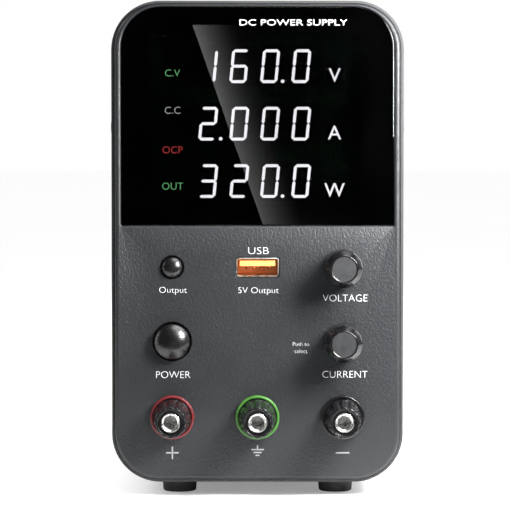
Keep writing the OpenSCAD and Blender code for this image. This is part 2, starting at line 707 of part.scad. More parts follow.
module fan_guard() color(METAL) {
    wire = 0.8;
    ring_y = case_y1 + rear_reach - wire;
    corner = fan_hole * sqrt(2);
    first_ring = 9;
    for (r = [first_ring : 6 : fan_bore - 1]) translate([0, ring_y, fan_z]) rotate([-90, 0, 0])
        rotate_extrude() translate([r, 0]) circle(wire);
    for (a = [45 : 90 : 315]) translate([0, ring_y - 1.2, fan_z]) rotate([0, a, 0])
        translate([first_ring - 1, 0, 0]) rotate([0, 90, 0])
            cylinder(h = corner - 2.4 - first_ring, r = wire);
    for (c = fan_corners) difference() {
        rod_y(c[0], c[1], rear_y, rear_y + eyelet_t, 4.2);
        rod_y(c[0], c[1], rear_y - 1, rear_y + 3, 2.2);
    }
}

module inlet_body() color(BLACK) difference() {
    union() {
        translate([0, 0, inlet_z]) slab(rear_y, inlet_flange_t) round_rect(49, 33, 4);
        bar_y(0, inlet_z, rear_y - 22, rear_y + 1, 27.4, 31);
    }
    translate([0, 0, inlet_z + 6]) slab(inlet_mouth_y - 16.5, 17.5)
        polygon([[-12, -8.2], [12, -8.2], [12, 3.7], [7.5, 8.2], [-7.5, 8.2], [-12, 3.7]]);
    bar_y(0, drawer_z, inlet_mouth_y - 20.5, inlet_mouth_y + 1, 22, 7.4);
    for (p = pin_spots)
        bar_y(p[0], inlet_z + p[1], rear_y - 23, inlet_mouth_y - 15, pin_w + 2 * GAP, pin_h + 2 * GAP);
    for (s = [-1, 1]) rod_y(s * inlet_screw_x, inlet_z, rear_y - 3, rear_y + 5, screw_r + GAP);
}

module inlet_pins() color(METAL) for (p = pin_spots)
    bar_y(p[0], inlet_z + p[1], pin_end_y, inlet_mouth_y - 5, pin_w, pin_h);

module fuse_drawer() color(BLACK) difference() {
    union() {
        bar_y(0, drawer_z, inlet_mouth_y + 0.1, inlet_mouth_y + 1.7, 24, 9);
        bar_y(0, drawer_z, inlet_mouth_y - 20, inlet_mouth_y + 1, 21.8, 7.2);
    }
    bar_y(0, drawer_z + 1, inlet_mouth_y - 14, inlet_mouth_y - 8, 20.4, 7.4);
}

module fuse() {
    y = inlet_mouth_y - 11;
    z = drawer_z + 0.1;
    color("white") translate([0, y, z]) rotate([0, 90, 0]) cylinder(h = 12, r = 2.4, center = true);
    color(METAL) for (x = [-8, 8]) translate([x, y, z]) rotate([0, 90, 0])
        cylinder(h = 4, r = 2.6, center = true);
}

module voltage_selector() color(BLACK) difference() {
    union() {
        bar_y(0, selector_z, rear_y, rear_y + 1, 36, 12);
        bar_y(0, selector_z, rear_y - 9, rear_y + 0.5, 18.6, 8.6);
    }
    bar_y(0, selector_z, rear_y - 6, rear_y - 2, 15, 6.4);
    bar_y(0, selector_z, rear_y - 3, rear_y + 2, 12, 5);
    for (s = [-1, 1]) rod_y(s * selector_screw_x, selector_z, rear_y - 3, rear_y + 3, screw_r + GAP);
}

module selector_slider() color(RED) difference() {
    union() {
        bar_y(slider_x, selector_z, rear_y - 5.9, rear_y - 2.6, 8, 6.2);
        bar_y(slider_x, selector_z, rear_y - 3, rear_y + 2.2, 6, 4.6);
    }
    bar_y(slider_x, selector_z, rear_y + 1.2, rear_y + 3, 0.9, 6);
}

// ---------- Nodes ----------

upper_cover();
lower_tray();
front_panel();
panel_frame();
display_lens();
rear_panel();
feet();
case_screws();
output_button();
output_switch();
power_button();
power_switch();
encoder_knob(row_1_z);  // voltage_knob
encoder_shaft(row_1_z);  // voltage_shaft
encoder_rotor(row_1_z);  // voltage_encoder_rotor
encoder_body(row_1_z);  // voltage_encoder_body
encoder_knob(row_2_z);  // current_knob
encoder_shaft(row_2_z);  // current_shaft
encoder_rotor(row_2_z);  // current_encoder_rotor
encoder_body(row_2_z);  // current_encoder_body
usb_shell();
usb_tongue();
usb_contacts();
post_collar(-column_x, RED);  // positive_collar
post_collar(0, GREEN);  // earth_collar
post_collar(column_x, BLACK);  // negative_collar
post_stud(-column_x);  // positive_stud
post_stud(0);  // earth_stud
post_stud(column_x);  // negative_stud
clamp_washer(-column_x);  // positive_washer
clamp_washer(0);  // earth_washer
clamp_washer(column_x);  // negative_washer
post_cap(-column_x);  // positive_cap
post_cap(0);  // earth_cap
post_cap(column_x);  // negative_cap
post_nuts();
solder_lugs();
display_board();
led_modules();
control_board();
board_screws();
power_board();
board_standoffs();
main_transformer();
capacitors();
heatsinks();
power_transistors();
chokes();
ribbon_cable();
output_leads();
power_leads();
fan_frame();
fan_rotor();
fan_guard();
inlet_body();
inlet_pins();
fuse_drawer();
fuse();
voltage_selector();
selector_slider();
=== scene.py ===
"""The bench power supply's looks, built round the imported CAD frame.

Lengths are in millimetres in the part's frame, and become metres when a mesh or a light is made.
The front panel faces -Y, +X is to the right and +Z is up.
"""

import json
import math
from math import cos, pi, radians, sin, tan

import bpy
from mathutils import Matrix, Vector
from mathutils.geometry import delaunay_2d_cdt

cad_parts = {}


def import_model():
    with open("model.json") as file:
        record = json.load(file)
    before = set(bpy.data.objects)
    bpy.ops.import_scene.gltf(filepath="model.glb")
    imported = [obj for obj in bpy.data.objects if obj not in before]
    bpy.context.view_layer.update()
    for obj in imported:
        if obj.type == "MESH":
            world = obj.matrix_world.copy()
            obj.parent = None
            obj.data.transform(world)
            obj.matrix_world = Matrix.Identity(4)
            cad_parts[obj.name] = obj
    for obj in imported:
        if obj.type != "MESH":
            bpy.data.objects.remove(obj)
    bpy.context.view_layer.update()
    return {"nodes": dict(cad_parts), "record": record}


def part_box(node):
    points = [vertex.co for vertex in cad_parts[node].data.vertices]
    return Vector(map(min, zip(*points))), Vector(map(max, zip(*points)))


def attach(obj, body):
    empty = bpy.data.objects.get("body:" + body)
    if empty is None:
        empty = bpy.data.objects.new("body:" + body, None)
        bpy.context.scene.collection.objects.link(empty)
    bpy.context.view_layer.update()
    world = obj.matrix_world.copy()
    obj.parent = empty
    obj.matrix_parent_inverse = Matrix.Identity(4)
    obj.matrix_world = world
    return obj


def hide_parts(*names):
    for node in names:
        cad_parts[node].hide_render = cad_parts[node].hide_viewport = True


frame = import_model()
NODES = frame["nodes"]
MM = 0.001


class Box:
    """A CAD node's box at rest, in millimetres."""

    def __init__(self, node):
        low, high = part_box(node)
        self.low = low / MM
        self.high = high / MM
        self.mid = (self.low + self.high) / 2
        self.size = self.high - self.low


PANEL = Box("front_panel")
LENS = Box("display_lens")
CASE = Box("upper_cover")
FACE_Y = PANEL.low.y
COLUMN_X = Box("voltage_knob").mid.x
ROW_1 = Box("output_button").mid.z
ROW_2 = Box("power_button").mid.z
ROW_3 = Box("earth_cap").mid.z


# ---------------- camera

CAMERA_X = -0.77
CAMERA_DISTANCE = 760
CAMERA_HEIGHT = 109
CAMERA_TILT = 2.57

camera_data = bpy.data.cameras.new("camera")
camera_data.lens = 174.4
camera_data.sensor_width = 36
camera_data.clip_start = 0.05
camera = bpy.data.objects.new("camera", camera_data)
camera.location = Vector((CAMERA_X, FACE_Y - CAMERA_DISTANCE, CAMERA_HEIGHT)) * MM
camera.rotation_euler = (radians(90 - CAMERA_TILT), 0, 0)
bpy.context.scene.collection.objects.link(camera)
bpy.context.scene.camera = camera


# ---------------- material tools

class Nodes:
    """A material's node tree, with short calls for what the finishes share."""

    def __init__(self, name):
        self.material = bpy.data.materials.new(name)
        self.material.use_nodes = True
        self.tree = self.material.node_tree
        self.shader = self.tree.nodes["Principled BSDF"]
        self.place = self.add("ShaderNodeTexCoord").outputs["Object"]

    def add(self, kind, **values):
        node = self.tree.nodes.new(kind)
        for key, value in values.items():
            if hasattr(node, key):
                setattr(node, key, value)
            else:
                node.inputs[key.replace("_", " ")].default_value = value
        return node

    def join(self, output, socket):
        self.tree.links.new(output, socket)

    def set(self, **values):
        for key, value in values.items():
            self.shader.inputs[key.replace("_", " ")].default_value = value

    def noise(self, size, detail=3.0, rough=0.5, distort=0.0, stretch=(1, 1, 1)):
        """Noise whose features are about size millimetres across, divided by stretch on each axis."""
        place = self.add("ShaderNodeMapping", Scale=[s / (size * MM) for s in stretch])
        self.join(self.place, place.inputs["Vector"])
        node = self.add("ShaderNodeTexNoise", Scale=1.0, Detail=detail, Roughness=rough, Distortion=distort)
        self.join(place.outputs[0], node.inputs["Vector"])
        return node.outputs["Fac"]

    def cells(self, size, feature="F1", smooth=0.3):
        place = self.add("ShaderNodeMapping", Scale=[1 / (size * MM)] * 3)
        self.join(self.place, place.inputs["Vector"])
        node = self.add("ShaderNodeTexVoronoi", feature=feature, Scale=1.0)
        if feature == "SMOOTH_F1":
            node.inputs["Smoothness"].default_value = smooth
        self.join(place.outputs[0], node.inputs["Vector"])
        return node.outputs["Distance"]

    def span(self, value, low, high, start=0.25, end=0.75):
        """Maps value from start..end to low..high."""
        node = self.add("ShaderNodeMapRange")
        for key, number in zip(("From Min", "From Max", "To Min", "To Max"), (start, end, low, high)):
            node.inputs[key].default_value = number
        self.join(value, node.inputs["Value"])
        return node.outputs[0]

    def add_up(self, a, b, weight=1.0):
        """a + weight * b"""
        node = self.add("ShaderNodeMath", operation="MULTIPLY_ADD")
        self.join(b, node.inputs[0])
        node.inputs[1].default_value = weight
        self.join(a, node.inputs[2])
        return node.outputs[0]

    def paint(self, value, color_a, color_b, start=0.3, end=0.7):
        """Base colour that runs from color_a to color_b with value."""
        ramp = self.add("ShaderNodeValToRGB")
        ramp.color_ramp.elements[0].position = start
        ramp.color_ramp.elements[1].position = end
        ramp.color_ramp.elements[0].color = (*color_a, 1)
        ramp.color_ramp.elements[1].color = (*color_b, 1)
        self.join(value, ramp.inputs[0])
        self.join(ramp.outputs[0], self.shader.inputs["Base Color"])
        return ramp.outputs[0]

    def roughness(self, value):
        self.join(value, self.shader.inputs["Roughness"])

    def bump(self, height, depth):
        """Bump whose full height is depth millimetres."""
        node = self.add("ShaderNodeBump", Strength=1.0, Distance=depth * MM)
        self.join(height, node.inputs["Height"])
        self.join(node.outputs[0], self.shader.inputs["Normal"])


def shade(color, factor):
    return tuple(min(1.0, c * factor) for c in color)


def plastic(name, color, rough=0.35, vary=0.15, coat=0.0, grain=0.0):
    """Moulded plastic: a faint flow pattern in its colour, handling marks in its gloss and a fine grain."""
    n = Nodes(name)
    n.paint(n.noise(9, detail=4), shade(color, 1 - vary), shade(color, 1 + vary))
    n.roughness(n.span(n.noise(2.2, detail=5), rough * 0.8, rough * 1.25))
    n.set(IOR=1.5, Coat_Weight=coat, Coat_Roughness=0.06)
    if grain:
        n.bump(n.noise(0.4, detail=3), grain)
    return n.material


def metal(name, color, rough=0.25, brush=(1, 1, 1), size=1.2, depth=0.004, vary=0.08):
    """Metal with streaks: brush is how many times finer the pattern is along each axis."""
    n = Nodes(name)
    streak = n.noise(size, detail=4, stretch=brush)
    n.paint(streak, shade(color, 1 - vary), shade(color, 1 + vary))
    n.roughness(n.span(streak, rough * 0.75, rough * 1.3))
    n.set(Metallic=1.0)
    n.bump(streak, depth)
    return n.material


def powder_coat(name, color, rough=0.5, size=0.35, depth=0.035):
    """Textured powder coat on steel."""
    n = Nodes(name)
    lumps = n.cells(size, "SMOOTH_F1", 0.6)
    n.paint(n.noise(14, detail=5), shade(color, 0.86), shade(color, 1.16))
    n.roughness(n.span(n.noise(1.5, detail=4), rough * 0.85, rough * 1.2))
    n.set(IOR=1.5)
    n.bump(n.add_up(lumps, n.noise(size * 0.6, detail=2), 0.5), depth)
    return n.material


def leather_plastic(name, color):
    """The front panel's moulded leather grain: soft wandering wrinkles over a fine pebble."""
    n = Nodes(name)
    wrinkles = n.noise(0.68, detail=2.0, rough=0.45, distort=0.9, stretch=(1.0, 1.0, 0.75))
    pebbles = n.cells(0.55, "SMOOTH_F1", 0.5)
    n.paint(n.noise(12, detail=4), shade(color, 0.92), shade(color, 1.1))
    n.roughness(n.span(pebbles, 0.36, 0.48, 0.1, 0.7))
    n.set(IOR=1.5, Specular_IOR_Level=0.42)
    n.bump(n.add_up(wrinkles, pebbles, 0.35), 0.11)
    return n.material


def glow(name, color, strength, spot=0.5):
    """A lit segment or lamp: its light is a little uneven, as a diffuser's is."""
    n = Nodes(name)
    color_out = n.paint(n.noise(spot, detail=1), shade(color, 0.92), color)
    n.join(color_out, n.shader.inputs["Emission Color"])
    n.set(Emission_Strength=strength, Roughness=0.4)
    return n.material


def lens_tint(name):
    """Dark tinted acrylic, polished, with faint fine scuffs in its gloss."""
    n = Nodes(name)
    n.paint(n.noise(30, detail=2), (0.11, 0.11, 0.115), (0.13, 0.13, 0.135))
    n.roughness(n.span(n.noise(6, detail=6), 0.0, 0.012, 0.45, 0.8))
    n.set(IOR=1.49, Transmission_Weight=1.0)
    return n.material


def two_leads(name, left, right):
    """Insulation that is one colour left of the middle plane and another right of it."""
    n = Nodes(name)
    split = n.add("ShaderNodeSeparateXYZ")
    n.join(n.place, split.inputs[0])
    n.paint(n.span(split.outputs["X"], 0, 1, -0.001, 0.001), left, right, 0.4, 0.6)
    n.roughness(n.span(n.noise(2.2, detail=5), 0.32, 0.5))
    return n.material


def circuit_board(name):
    """Solder resist with a faint pattern of tracks under it."""
    n = Nodes(name)
    tracks = n.cells(3.2, "DISTANCE_TO_EDGE")
    n.paint(tracks, (0.03, 0.16, 0.07), (0.008, 0.075, 0.03), 0.04, 0.12)
    n.roughness(n.span(n.noise(2.0), 0.25, 0.4))
    n.set(IOR=1.5)
    n.bump(n.span(tracks, 1, 0, 0.04, 0.1), 0.03)
    return n.material


def wound_wire(name, color, pitch=0.9):
    """Turns of enamelled wire or tape seen as fine ridges."""
    n = Nodes(name)
    place = n.add("ShaderNodeMapping", Scale=[1 / (pitch * MM)] * 3)
    n.join(n.place, place.inputs["Vector"])
    wave = n.add("ShaderNodeTexWave", bands_direction="DIAGONAL", Scale=0.3, Distortion=0.4, Detail=1.0)
    n.join(place.outputs[0], wave.inputs["Vector"])
    n.paint(wave.outputs["Fac"], shade(color, 0.6), shade(color, 1.1), 0.1, 0.8)
    n.set(Roughness=0.35, Metallic=0.5)
    n.bump(wave.outputs["Fac"], 0.2)
    return n.material


MATERIALS = {
    "case_steel": powder_coat("case_steel", (0.02, 0.021, 0.023), rough=0.6),
    "panel_plastic": leather_plastic("panel_plastic", (0.0115, 0.0125, 0.014)),
    "lens": lens_tint("lens"),
    "mask": plastic("lens_mask", (0.0012, 0.0012, 0.0013), rough=0.5),
    "rubber": plastic("rubber", (0.016, 0.016, 0.016), rough=0.7, grain=0.04),
    "screw_zinc": metal("screw_black", (0.07, 0.07, 0.075), rough=0.35),
    "screw_plain": metal("screw_plain", (0.62, 0.62, 0.6), rough=0.3),
    "button_plastic": plastic("button_plastic", (0.004, 0.004, 0.0045), rough=0.27),
    "switch_plastic": plastic("switch_plastic", (0.02, 0.02, 0.02), rough=0.5),
    "knob_plastic": plastic("knob_plastic", (0.0035, 0.0035, 0.004), rough=0.2),
    "nickel": metal("nickel", (0.72, 0.715, 0.7), rough=0.28, vary=0.03, depth=0.0002),
    "steel_plate": metal("steel_plate", (0.6, 0.6, 0.6), rough=0.24, brush=(1, 0.2, 4)),
    "brass": metal("brass", (0.72, 0.53, 0.25), rough=0.3),
    "usb_insulator": plastic("usb_insulator", (0.92, 0.3, 0.07), rough=0.45),
    "contact_metal": metal("contact_metal", (0.5, 0.12, 0.04), rough=0.3),
    "red_plastic": plastic("red_plastic", (0.1, 0.007, 0.009), rough=0.35),
    "green_plastic": plastic("green_plastic", (0.035, 0.13, 0.016), rough=0.35),
    "black_plastic": plastic("black_plastic", (0.005, 0.005, 0.0055), rough=0.24),
    "circuit_board": circuit_board("circuit_board"),
    "led_module": plastic("led_module", (0.002, 0.002, 0.002), rough=0.6),
    "ferrite": plastic("ferrite", (0.03, 0.03, 0.032), rough=0.6, grain=0.05),
    "capacitor": plastic("capacitor_sleeve", (0.012, 0.014, 0.03), rough=0.3, coat=0.3),
    "heatsink": metal("heatsink", (0.5, 0.51, 0.53), rough=0.4, brush=(1, 1, 0.1)),
    "epoxy": plastic("epoxy", (0.015, 0.015, 0.015), rough=0.55, grain=0.02),
    "winding": wound_wire("winding", (0.62, 0.26, 0.08)),
    "ribbon": plastic("ribbon", (0.42, 0.42, 0.43), rough=0.5),
    "lead_red": two_leads("lead_red", (0.35, 0.015, 0.015), (0.012, 0.012, 0.012)),
    "lead_black": plastic("lead_black", (0.015, 0.015, 0.015), rough=0.4),
    "fan_plastic": plastic("fan_plastic", (0.012, 0.012, 0.013), rough=0.42, grain=0.02),
    "glass_fuse": plastic("fuse_tube", (0.7, 0.7, 0.66), rough=0.3),
    "selector_red": plastic("selector_red", (0.5, 0.025, 0.015), rough=0.35),
    "print_white": plastic("print_white", (0.56, 0.57, 0.58), rough=0.5, vary=0.04),
    "segment_dark": plastic("segment_dark", (0.004, 0.004, 0.004), rough=0.5),
    "knob_face": plastic("knob_face", (0.013, 0.0135, 0.0145), rough=0.5),
    "print_grey": plastic("print_grey", (0.2, 0.205, 0.21), rough=0.5, vary=0.06),
    "lit_white": glow("lit_white", (1.0, 1.0, 1.0), 8.0),
    "lit_green": glow("lit_green", (0.2, 0.62, 0.25), 5.2),
    "lit_pale": glow("lit_pale", (0.62, 0.68, 0.66), 5.0),
    "lit_red": glow("lit_red", (0.5, 0.05, 0.05), 6.0),
}


# ---------------- mesh tools

def make_object(name, verts, faces, material, crease=32, materials=(), face_materials=None):
    """A mesh object from points in millimetres, smooth but for edges sharper than crease degrees."""
    mesh = bpy.data.meshes.new(name)
    mesh.from_pydata([tuple(c * MM for c in v) for v in verts], [], faces)
    for key in (material, *materials):
        mesh.materials.append(MATERIALS[key])
    if face_materials:
        mesh.polygons.foreach_set("material_index", face_materials)
    mesh.polygons.foreach_set("use_smooth", [True] * len(mesh.polygons))
    mesh.update()
    mesh.set_sharp_from_angle(angle=radians(crease))
    thing = bpy.data.objects.new(name, mesh)
    bpy.context.scene.collection.objects.link(thing)
    return thing


def piece(thing, body="root", replaces=()):
    """Parents a finished object to the body it rides on and hides the CAD nodes it stands for."""
    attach(thing, body)
    if replaces:
        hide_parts(*replaces)
    return thing


def fillet(points, radius, steps=4):
    """Rounds the inner corners of an open path of 2-D points. radius is one number or one per corner."""
    path = [points[0]]
    for i in range(1, len(points) - 1):
        r = radius if not isinstance(radius, (list, tuple)) else radius[i - 1]
        a, b, c = (Vector(p) for p in points[i - 1:i + 2])
        u = a - b
        v = c - b
        cut = min(r, u.length * 0.49, v.length * 0.49)
        if cut <= 0:
            path.append(points[i])
            continue
        start = b + u.normalized() * cut
        end = b + v.normalized() * cut
        for k in range(steps + 1):
            t = k / steps
            path.append(tuple(start * (1 - t) ** 2 + b * (2 * t * (1 - t)) + end * t * t))
    path.append(points[-1])
    return path


def lathe(name, profile, centre, material, sides=72, ripple=None, crease=32, materials=(), bands=None):
    """Turns a profile of (y, radius) round the line through centre (x, z) along Y.

    The profile runs from the front outwards to the back, then forwards again along a bore.
    ripple(y, radius, angle) gives the radius at an angle. bands gives each profile step's material.
    """
    verts = []
    rings = []
    for y, r in profile:
        if r == 0:
            rings.append([len(verts)])
            verts.append((centre[0], y, centre[1]))
            continue
        rings.append(list(range(len(verts), len(verts) + sides)))
        for k in range(sides):
            a = 2 * pi * k / sides
            rr = ripple(y, r, a) if ripple else r
            verts.append((centre[0] + rr * cos(a), y, centre[1] + rr * sin(a)))
    faces = []
    looks = []
    for i, (a, b) in enumerate(zip(rings, rings[1:])):
        if len(a) == 1 and len(b) == 1:
            continue
        for k in range(sides):
            k2 = (k + 1) % sides
            if len(a) == 1:
                faces.append((a[0], b[k], b[k2]))
            elif len(b) == 1:
                faces.append((a[k], b[0], a[k2]))
            else:
                faces.append((a[k], b[k], b[k2], a[k2]))
            looks.append(bands[i] if bands else 0)
    return make_object(name, verts, faces, material, crease, materials, looks)


def round_loop(w, h, radii, mid=(0, 0), steps=10):
    """Points of a rectangle with round corners, given as one radius or four from the upper right."""
    radii = [radii] * 4 if not isinstance(radii, (list, tuple)) else radii
    loop = []
    for k, (sx, sz) in enumerate([(1, 1), (-1, 1), (-1, -1), (1, -1)]):
        r = max(radii[k], 0.01)
        cx = mid[0] + sx * (w / 2 - r)
        cz = mid[1] + sz * (h / 2 - r)
        for i in range(steps + 1):
            a = radians(90 * k + 90 * i / steps)
            loop.append((cx + r * cos(a), cz + r * sin(a)))
    return loop


def slab_loop(w, h, r, mid, steps):
    """The outline of a round-cornered slab, as a function of how far it is moved inwards."""
    return lambda inset: round_loop(w - 2 * inset, h - 2 * inset, r, mid, steps)


def circle_loop(r, mid, steps=64):
    angles = [2 * pi * k / steps for k in range(steps)]
    return [(mid[0] + r * cos(a), mid[1] + r * sin(a)) for a in angles]


def inside(point, loop):
    """Whether a 2-D point lies inside a closed loop."""
    x, z = point
    hit = False
    for (x1, z1), (x2, z2) in zip(loop, loop[1:] + loop[:1]):
        if (z1 > z) != (z2 > z) and x < (x2 - x1) * (z - z1) / (z2 - z1) + x1:
            hit = not hit
    return hit


class Solid:
    """Gathers faces, mostly loops in the X-Z plane joined along Y, into one mesh."""

    def __init__(self):
        self.verts = []
        self.faces = []
        self.looks = []

    def ring(self, loop, y):
        start = len(self.verts)
        self.verts += [(x, y, z) for x, z in loop]
        return list(range(start, len(self.verts)))

    def wall(self, a, b, outward=True, look=0):
        """Joins two rings of equal length, facing away from the loop's inside or into it."""
        for k in range(len(a)):
            k2 = (k + 1) % len(a)
            quad = (a[k], b[k], b[k2], a[k2])
            self.faces.append(quad if outward else quad[::-1])
            self.looks.append(look)

    def skin(self, outline, holes=(), forward=True):
        """Fills the flat region between ring outline and rings holes. forward faces -Y."""
        rings = [outline, *holes]
        loops = [[(self.verts[i][0], self.verts[i][2]) for i in ring] for ring in rings]
        flat = [i for ring in rings for i in ring]
        points = [Vector((self.verts[i][0], self.verts[i][2])) for i in flat]
        edges = []
        start = 0
        for ring in rings:
            n = len(ring)
            edges += [(start + k, start + (k + 1) % n) for k in range(n)]
            start += n
        _, _, found, origin, _, _ = delaunay_2d_cdt(points, edges, [], 0, 1e-7)
        for face in found:
            corners = [flat[origin[i][0]] for i in face]
            mid = [sum(self.verts[c][axis] for c in corners) / 3 for axis in (0, 2)]
            if not inside(mid, loops[0]) or any(inside(mid, loop) for loop in loops[1:]):
                continue
            (ax, _, az), (bx, _, bz), (cx, _, cz) = (self.verts[c] for c in corners)
            turn = (bx - ax) * (cz - az) - (bz - az) * (cx - ax)
            self.faces.append(tuple(corners) if (turn > 0) == forward else tuple(reversed(corners)))
            self.looks.append(0)

    def sweep(self, make_loop, path):
        """Rings from make_loop(inset) at each (y, inset) of path, joined in order; returns first and last."""
        rings = [self.ring(make_loop(inset), y) for y, inset in path]
        for a, b in zip(rings, rings[1:]):
            self.wall(a, b)
        return rings[0], rings[-1]

    def hole(self, make_loop, path, chamfer_look=0):
        """Walls of a hole, outlined by make_loop(grow), from the front back; returns first and last ring."""
        rings = [self.ring(make_loop(grow), y) for y, grow in path]
        for i, (a, b) in enumerate(zip(rings, rings[1:])):
            self.wall(a, b, False, chamfer_look if i == 1 else 0)
        return rings[0], rings[-1]

    def block(self, loop_at, y0, y1, chamfer=0.15):
        """A closed block along Y whose outline is loop_at(inset), its end edges chamfered."""
        path = [(y0, chamfer), (y0 + chamfer, 0), (y1 - chamfer, 0), (y1, chamfer)]
        first, last = self.sweep(loop_at, path)
        self.skin(first)
        self.skin(last, forward=False)

    def build(self, name, material, crease=32, materials=()):
        return make_object(name, self.verts, self.faces, material, crease, materials, self.looks)

    def copies(self, name, places, material, crease=32):
        """One object holding this solid at each (place, direction); its front, -Y, turns to the direction."""
        verts = []
        faces = []
        looks = []
        for place, direction in places:
            turn = Vector((0, -1, 0)).rotation_difference(Vector(direction))
            start = len(verts)
            verts += [tuple(turn @ Vector(v) + Vector(place)) for v in self.verts]
            faces += [tuple(start + i for i in f) for f in self.faces]
            looks += self.looks
        return make_object(name, verts, faces, material, crease, (), looks)


def edge_path(y, radius, depth, steps):
    """A quarter round from the face at y, radius inside the outline, back to the outline and on to depth."""
    path = [(y, radius + 0.1), (y, radius)]
    for k in range(1, steps + 1):
        a = radians(90 * k / steps)
        path.append((y + radius * (1 - cos(a)), radius * (1 - sin(a))))
    path.append((y + depth, 0))
    return path


FONT_CAP = 0.729


def text(name, body, x, z, cap, y, material, width=None, bold=-0.022, depth=0.04):
    """Lettering centred on x, its baseline at z, cap millimetres high, standing depth in front of y.

    The built-in font's capitals are FONT_CAP of its size high.
    """
    curve = bpy.data.curves.new(name, "FONT")
    curve.body = body
    curve.align_x = "CENTER"
    curve.size = 1.0
    curve.offset = bold
    curve.resolution_u = 4
    source = bpy.data.objects.new(name + "_source", curve)
    bpy.context.scene.collection.objects.link(source)
    bpy.context.view_layer.update()
    flat = bpy.data.meshes.new_from_object(source.evaluated_get(bpy.context.evaluated_depsgraph_get()))
    bpy.data.objects.remove(source)
    scale_z = cap / FONT_CAP
    xs = [v.co.x for v in flat.vertices]
    natural = (max(xs) - min(xs)) * scale_z
    middle = (max(xs) + min(xs)) / 2
    scale_x = scale_z * (width / natural if width else 1.0)
    front = [(x + (v.co.x - middle) * scale_x, y - depth, z + v.co.y * scale_z) for v in flat.vertices]
    count = len(front)
    back = [(px, y, pz) for px, _, pz in front]
    faces = [tuple(p.vertices) for p in flat.polygons]
    use = {}
    for f in faces:
        for a, b in zip(f, f[1:] + f[:1]):
            use.setdefault(frozenset((a, b)), []).append((a, b))
    sides = [(e[0][1], e[0][0], e[0][0] + count, e[0][1] + count) for e in use.values() if len(e) == 1]
    bpy.data.meshes.remove(flat)
    thing = make_object(name, front + back, faces + sides, material, crease=20)
    return piece(thing, "root")


# ---------------- CAD nodes that keep their shape

for entry in frame["record"]["subparts"]:
    node = NODES[entry["node"]]
    node.data.materials.clear()
    node.data.materials.append(MATERIALS[entry["material_slot"]])


def refine(node, width):
    """Joins a CAD node's flat triangles and rounds its edges by width, with modifiers only."""
    thing = NODES[node]
    thing.data.polygons.foreach_set("use_smooth", [True] * len(thing.data.polygons))
    weld = thing.modifiers.new("weld", "WELD")
    weld.merge_threshold = 0.002 * MM
    flat = thing.modifiers.new("flat", "DECIMATE")
    flat.decimate_type = "DISSOLVE"
    flat.angle_limit = radians(1)
    round_off = thing.modifiers.new("round_off", "BEVEL")
    round_off.width = width * MM
    round_off.segments = 2
    round_off.limit_method = "ANGLE"
    round_off.angle_limit = radians(30)
    round_off.harden_normals = True
    normals = thing.modifiers.new("normals", "WEIGHTED_NORMAL")
    normals.keep_sharp = True


for name in ("upper_cover", "lower_tray", "rear_panel"):
    refine(name, 0.18)
for name in ("fan_frame", "inlet_body", "fuse_drawer", "voltage_selector", "selector_slider", "inlet_pins"):
    refine(name, 0.15)
for name in NODES:
    mesh = NODES[name].data
    if not NODES[name].modifiers:
        mesh.polygons.foreach_set("use_smooth", [True] * len(mesh.polygons))
        mesh.set_sharp_from_angle(angle=radians(32))


# ---------------- front panel and lens

PANEL_R = 14.0
RIM_R = 1.0
PANEL_T = 3.0
FRAME_DEPTH = 8.0
FRAME_T = 2.0
TAB = (3.0, 10.0)
TAB_Z = 114.5
LENS_W = 84.0
LENS_R = 12.5
LENS_CORNER_R = 0.5
LENS_T = 2.0
RECESS = 2.2
WINDOW = (66.0, 53.0)
FLANGE = 1
OUTPUT_R = Box("output_button").size.x / 2 - FLANGE
POWER_R = Box("power_button").size.x / 2 - FLANGE
BUTTON_GAP = 0.25
BUSH_HOLE_R = 3.6
POST_HOLE_R = 4.0
USB_HOLE = (13.6, 6.2)


def panel_loop(inset):
    """The panel's outline, moved inwards; its top edge moves less, because the lens nearly reaches it."""
    top = inset * 0.55 if inset <= RIM_R * 1.2 else inset
    w = PANEL.size.x - 2 * inset
    h = PANEL.size.z - inset - top
    return round_loop(w, h, PANEL_R - inset * 0.9, (0, PANEL.mid.z + (inset - top) / 2), 14)


def panel_loop_plain(inset):
    w = PANEL.size.x - 2 * inset
    h = PANEL.size.z - 2 * inset
    return round_loop(w, h, PANEL_R - inset, (0, PANEL.mid.z), 14)


def lens_loop(grow):
    """The lens's outline, moved outwards; its top edge moves less, for the same reason."""
    top = 0.1 + (grow - 0.1) * 0.25 if grow > 0.1 else grow
    corner = max(LENS_CORNER_R + grow, 0.1)
    radii = [LENS_R + grow, LENS_R + grow, corner, corner]
    h = LENS.size.z + grow + top
    return round_loop(LENS_W + 2 * grow, h, radii, (0, LENS.mid.z + (top - grow) / 2), 14)


def window_loop(grow):
    return round_loop(WINDOW[0] + 2 * grow, WINDOW[1] + 2 * grow, 1.0 + grow, (0, LENS.mid.z - 1), 4)


def hole_at(x, z, r):
    return lambda grow: circle_loop(r + grow, (x, z), 48)


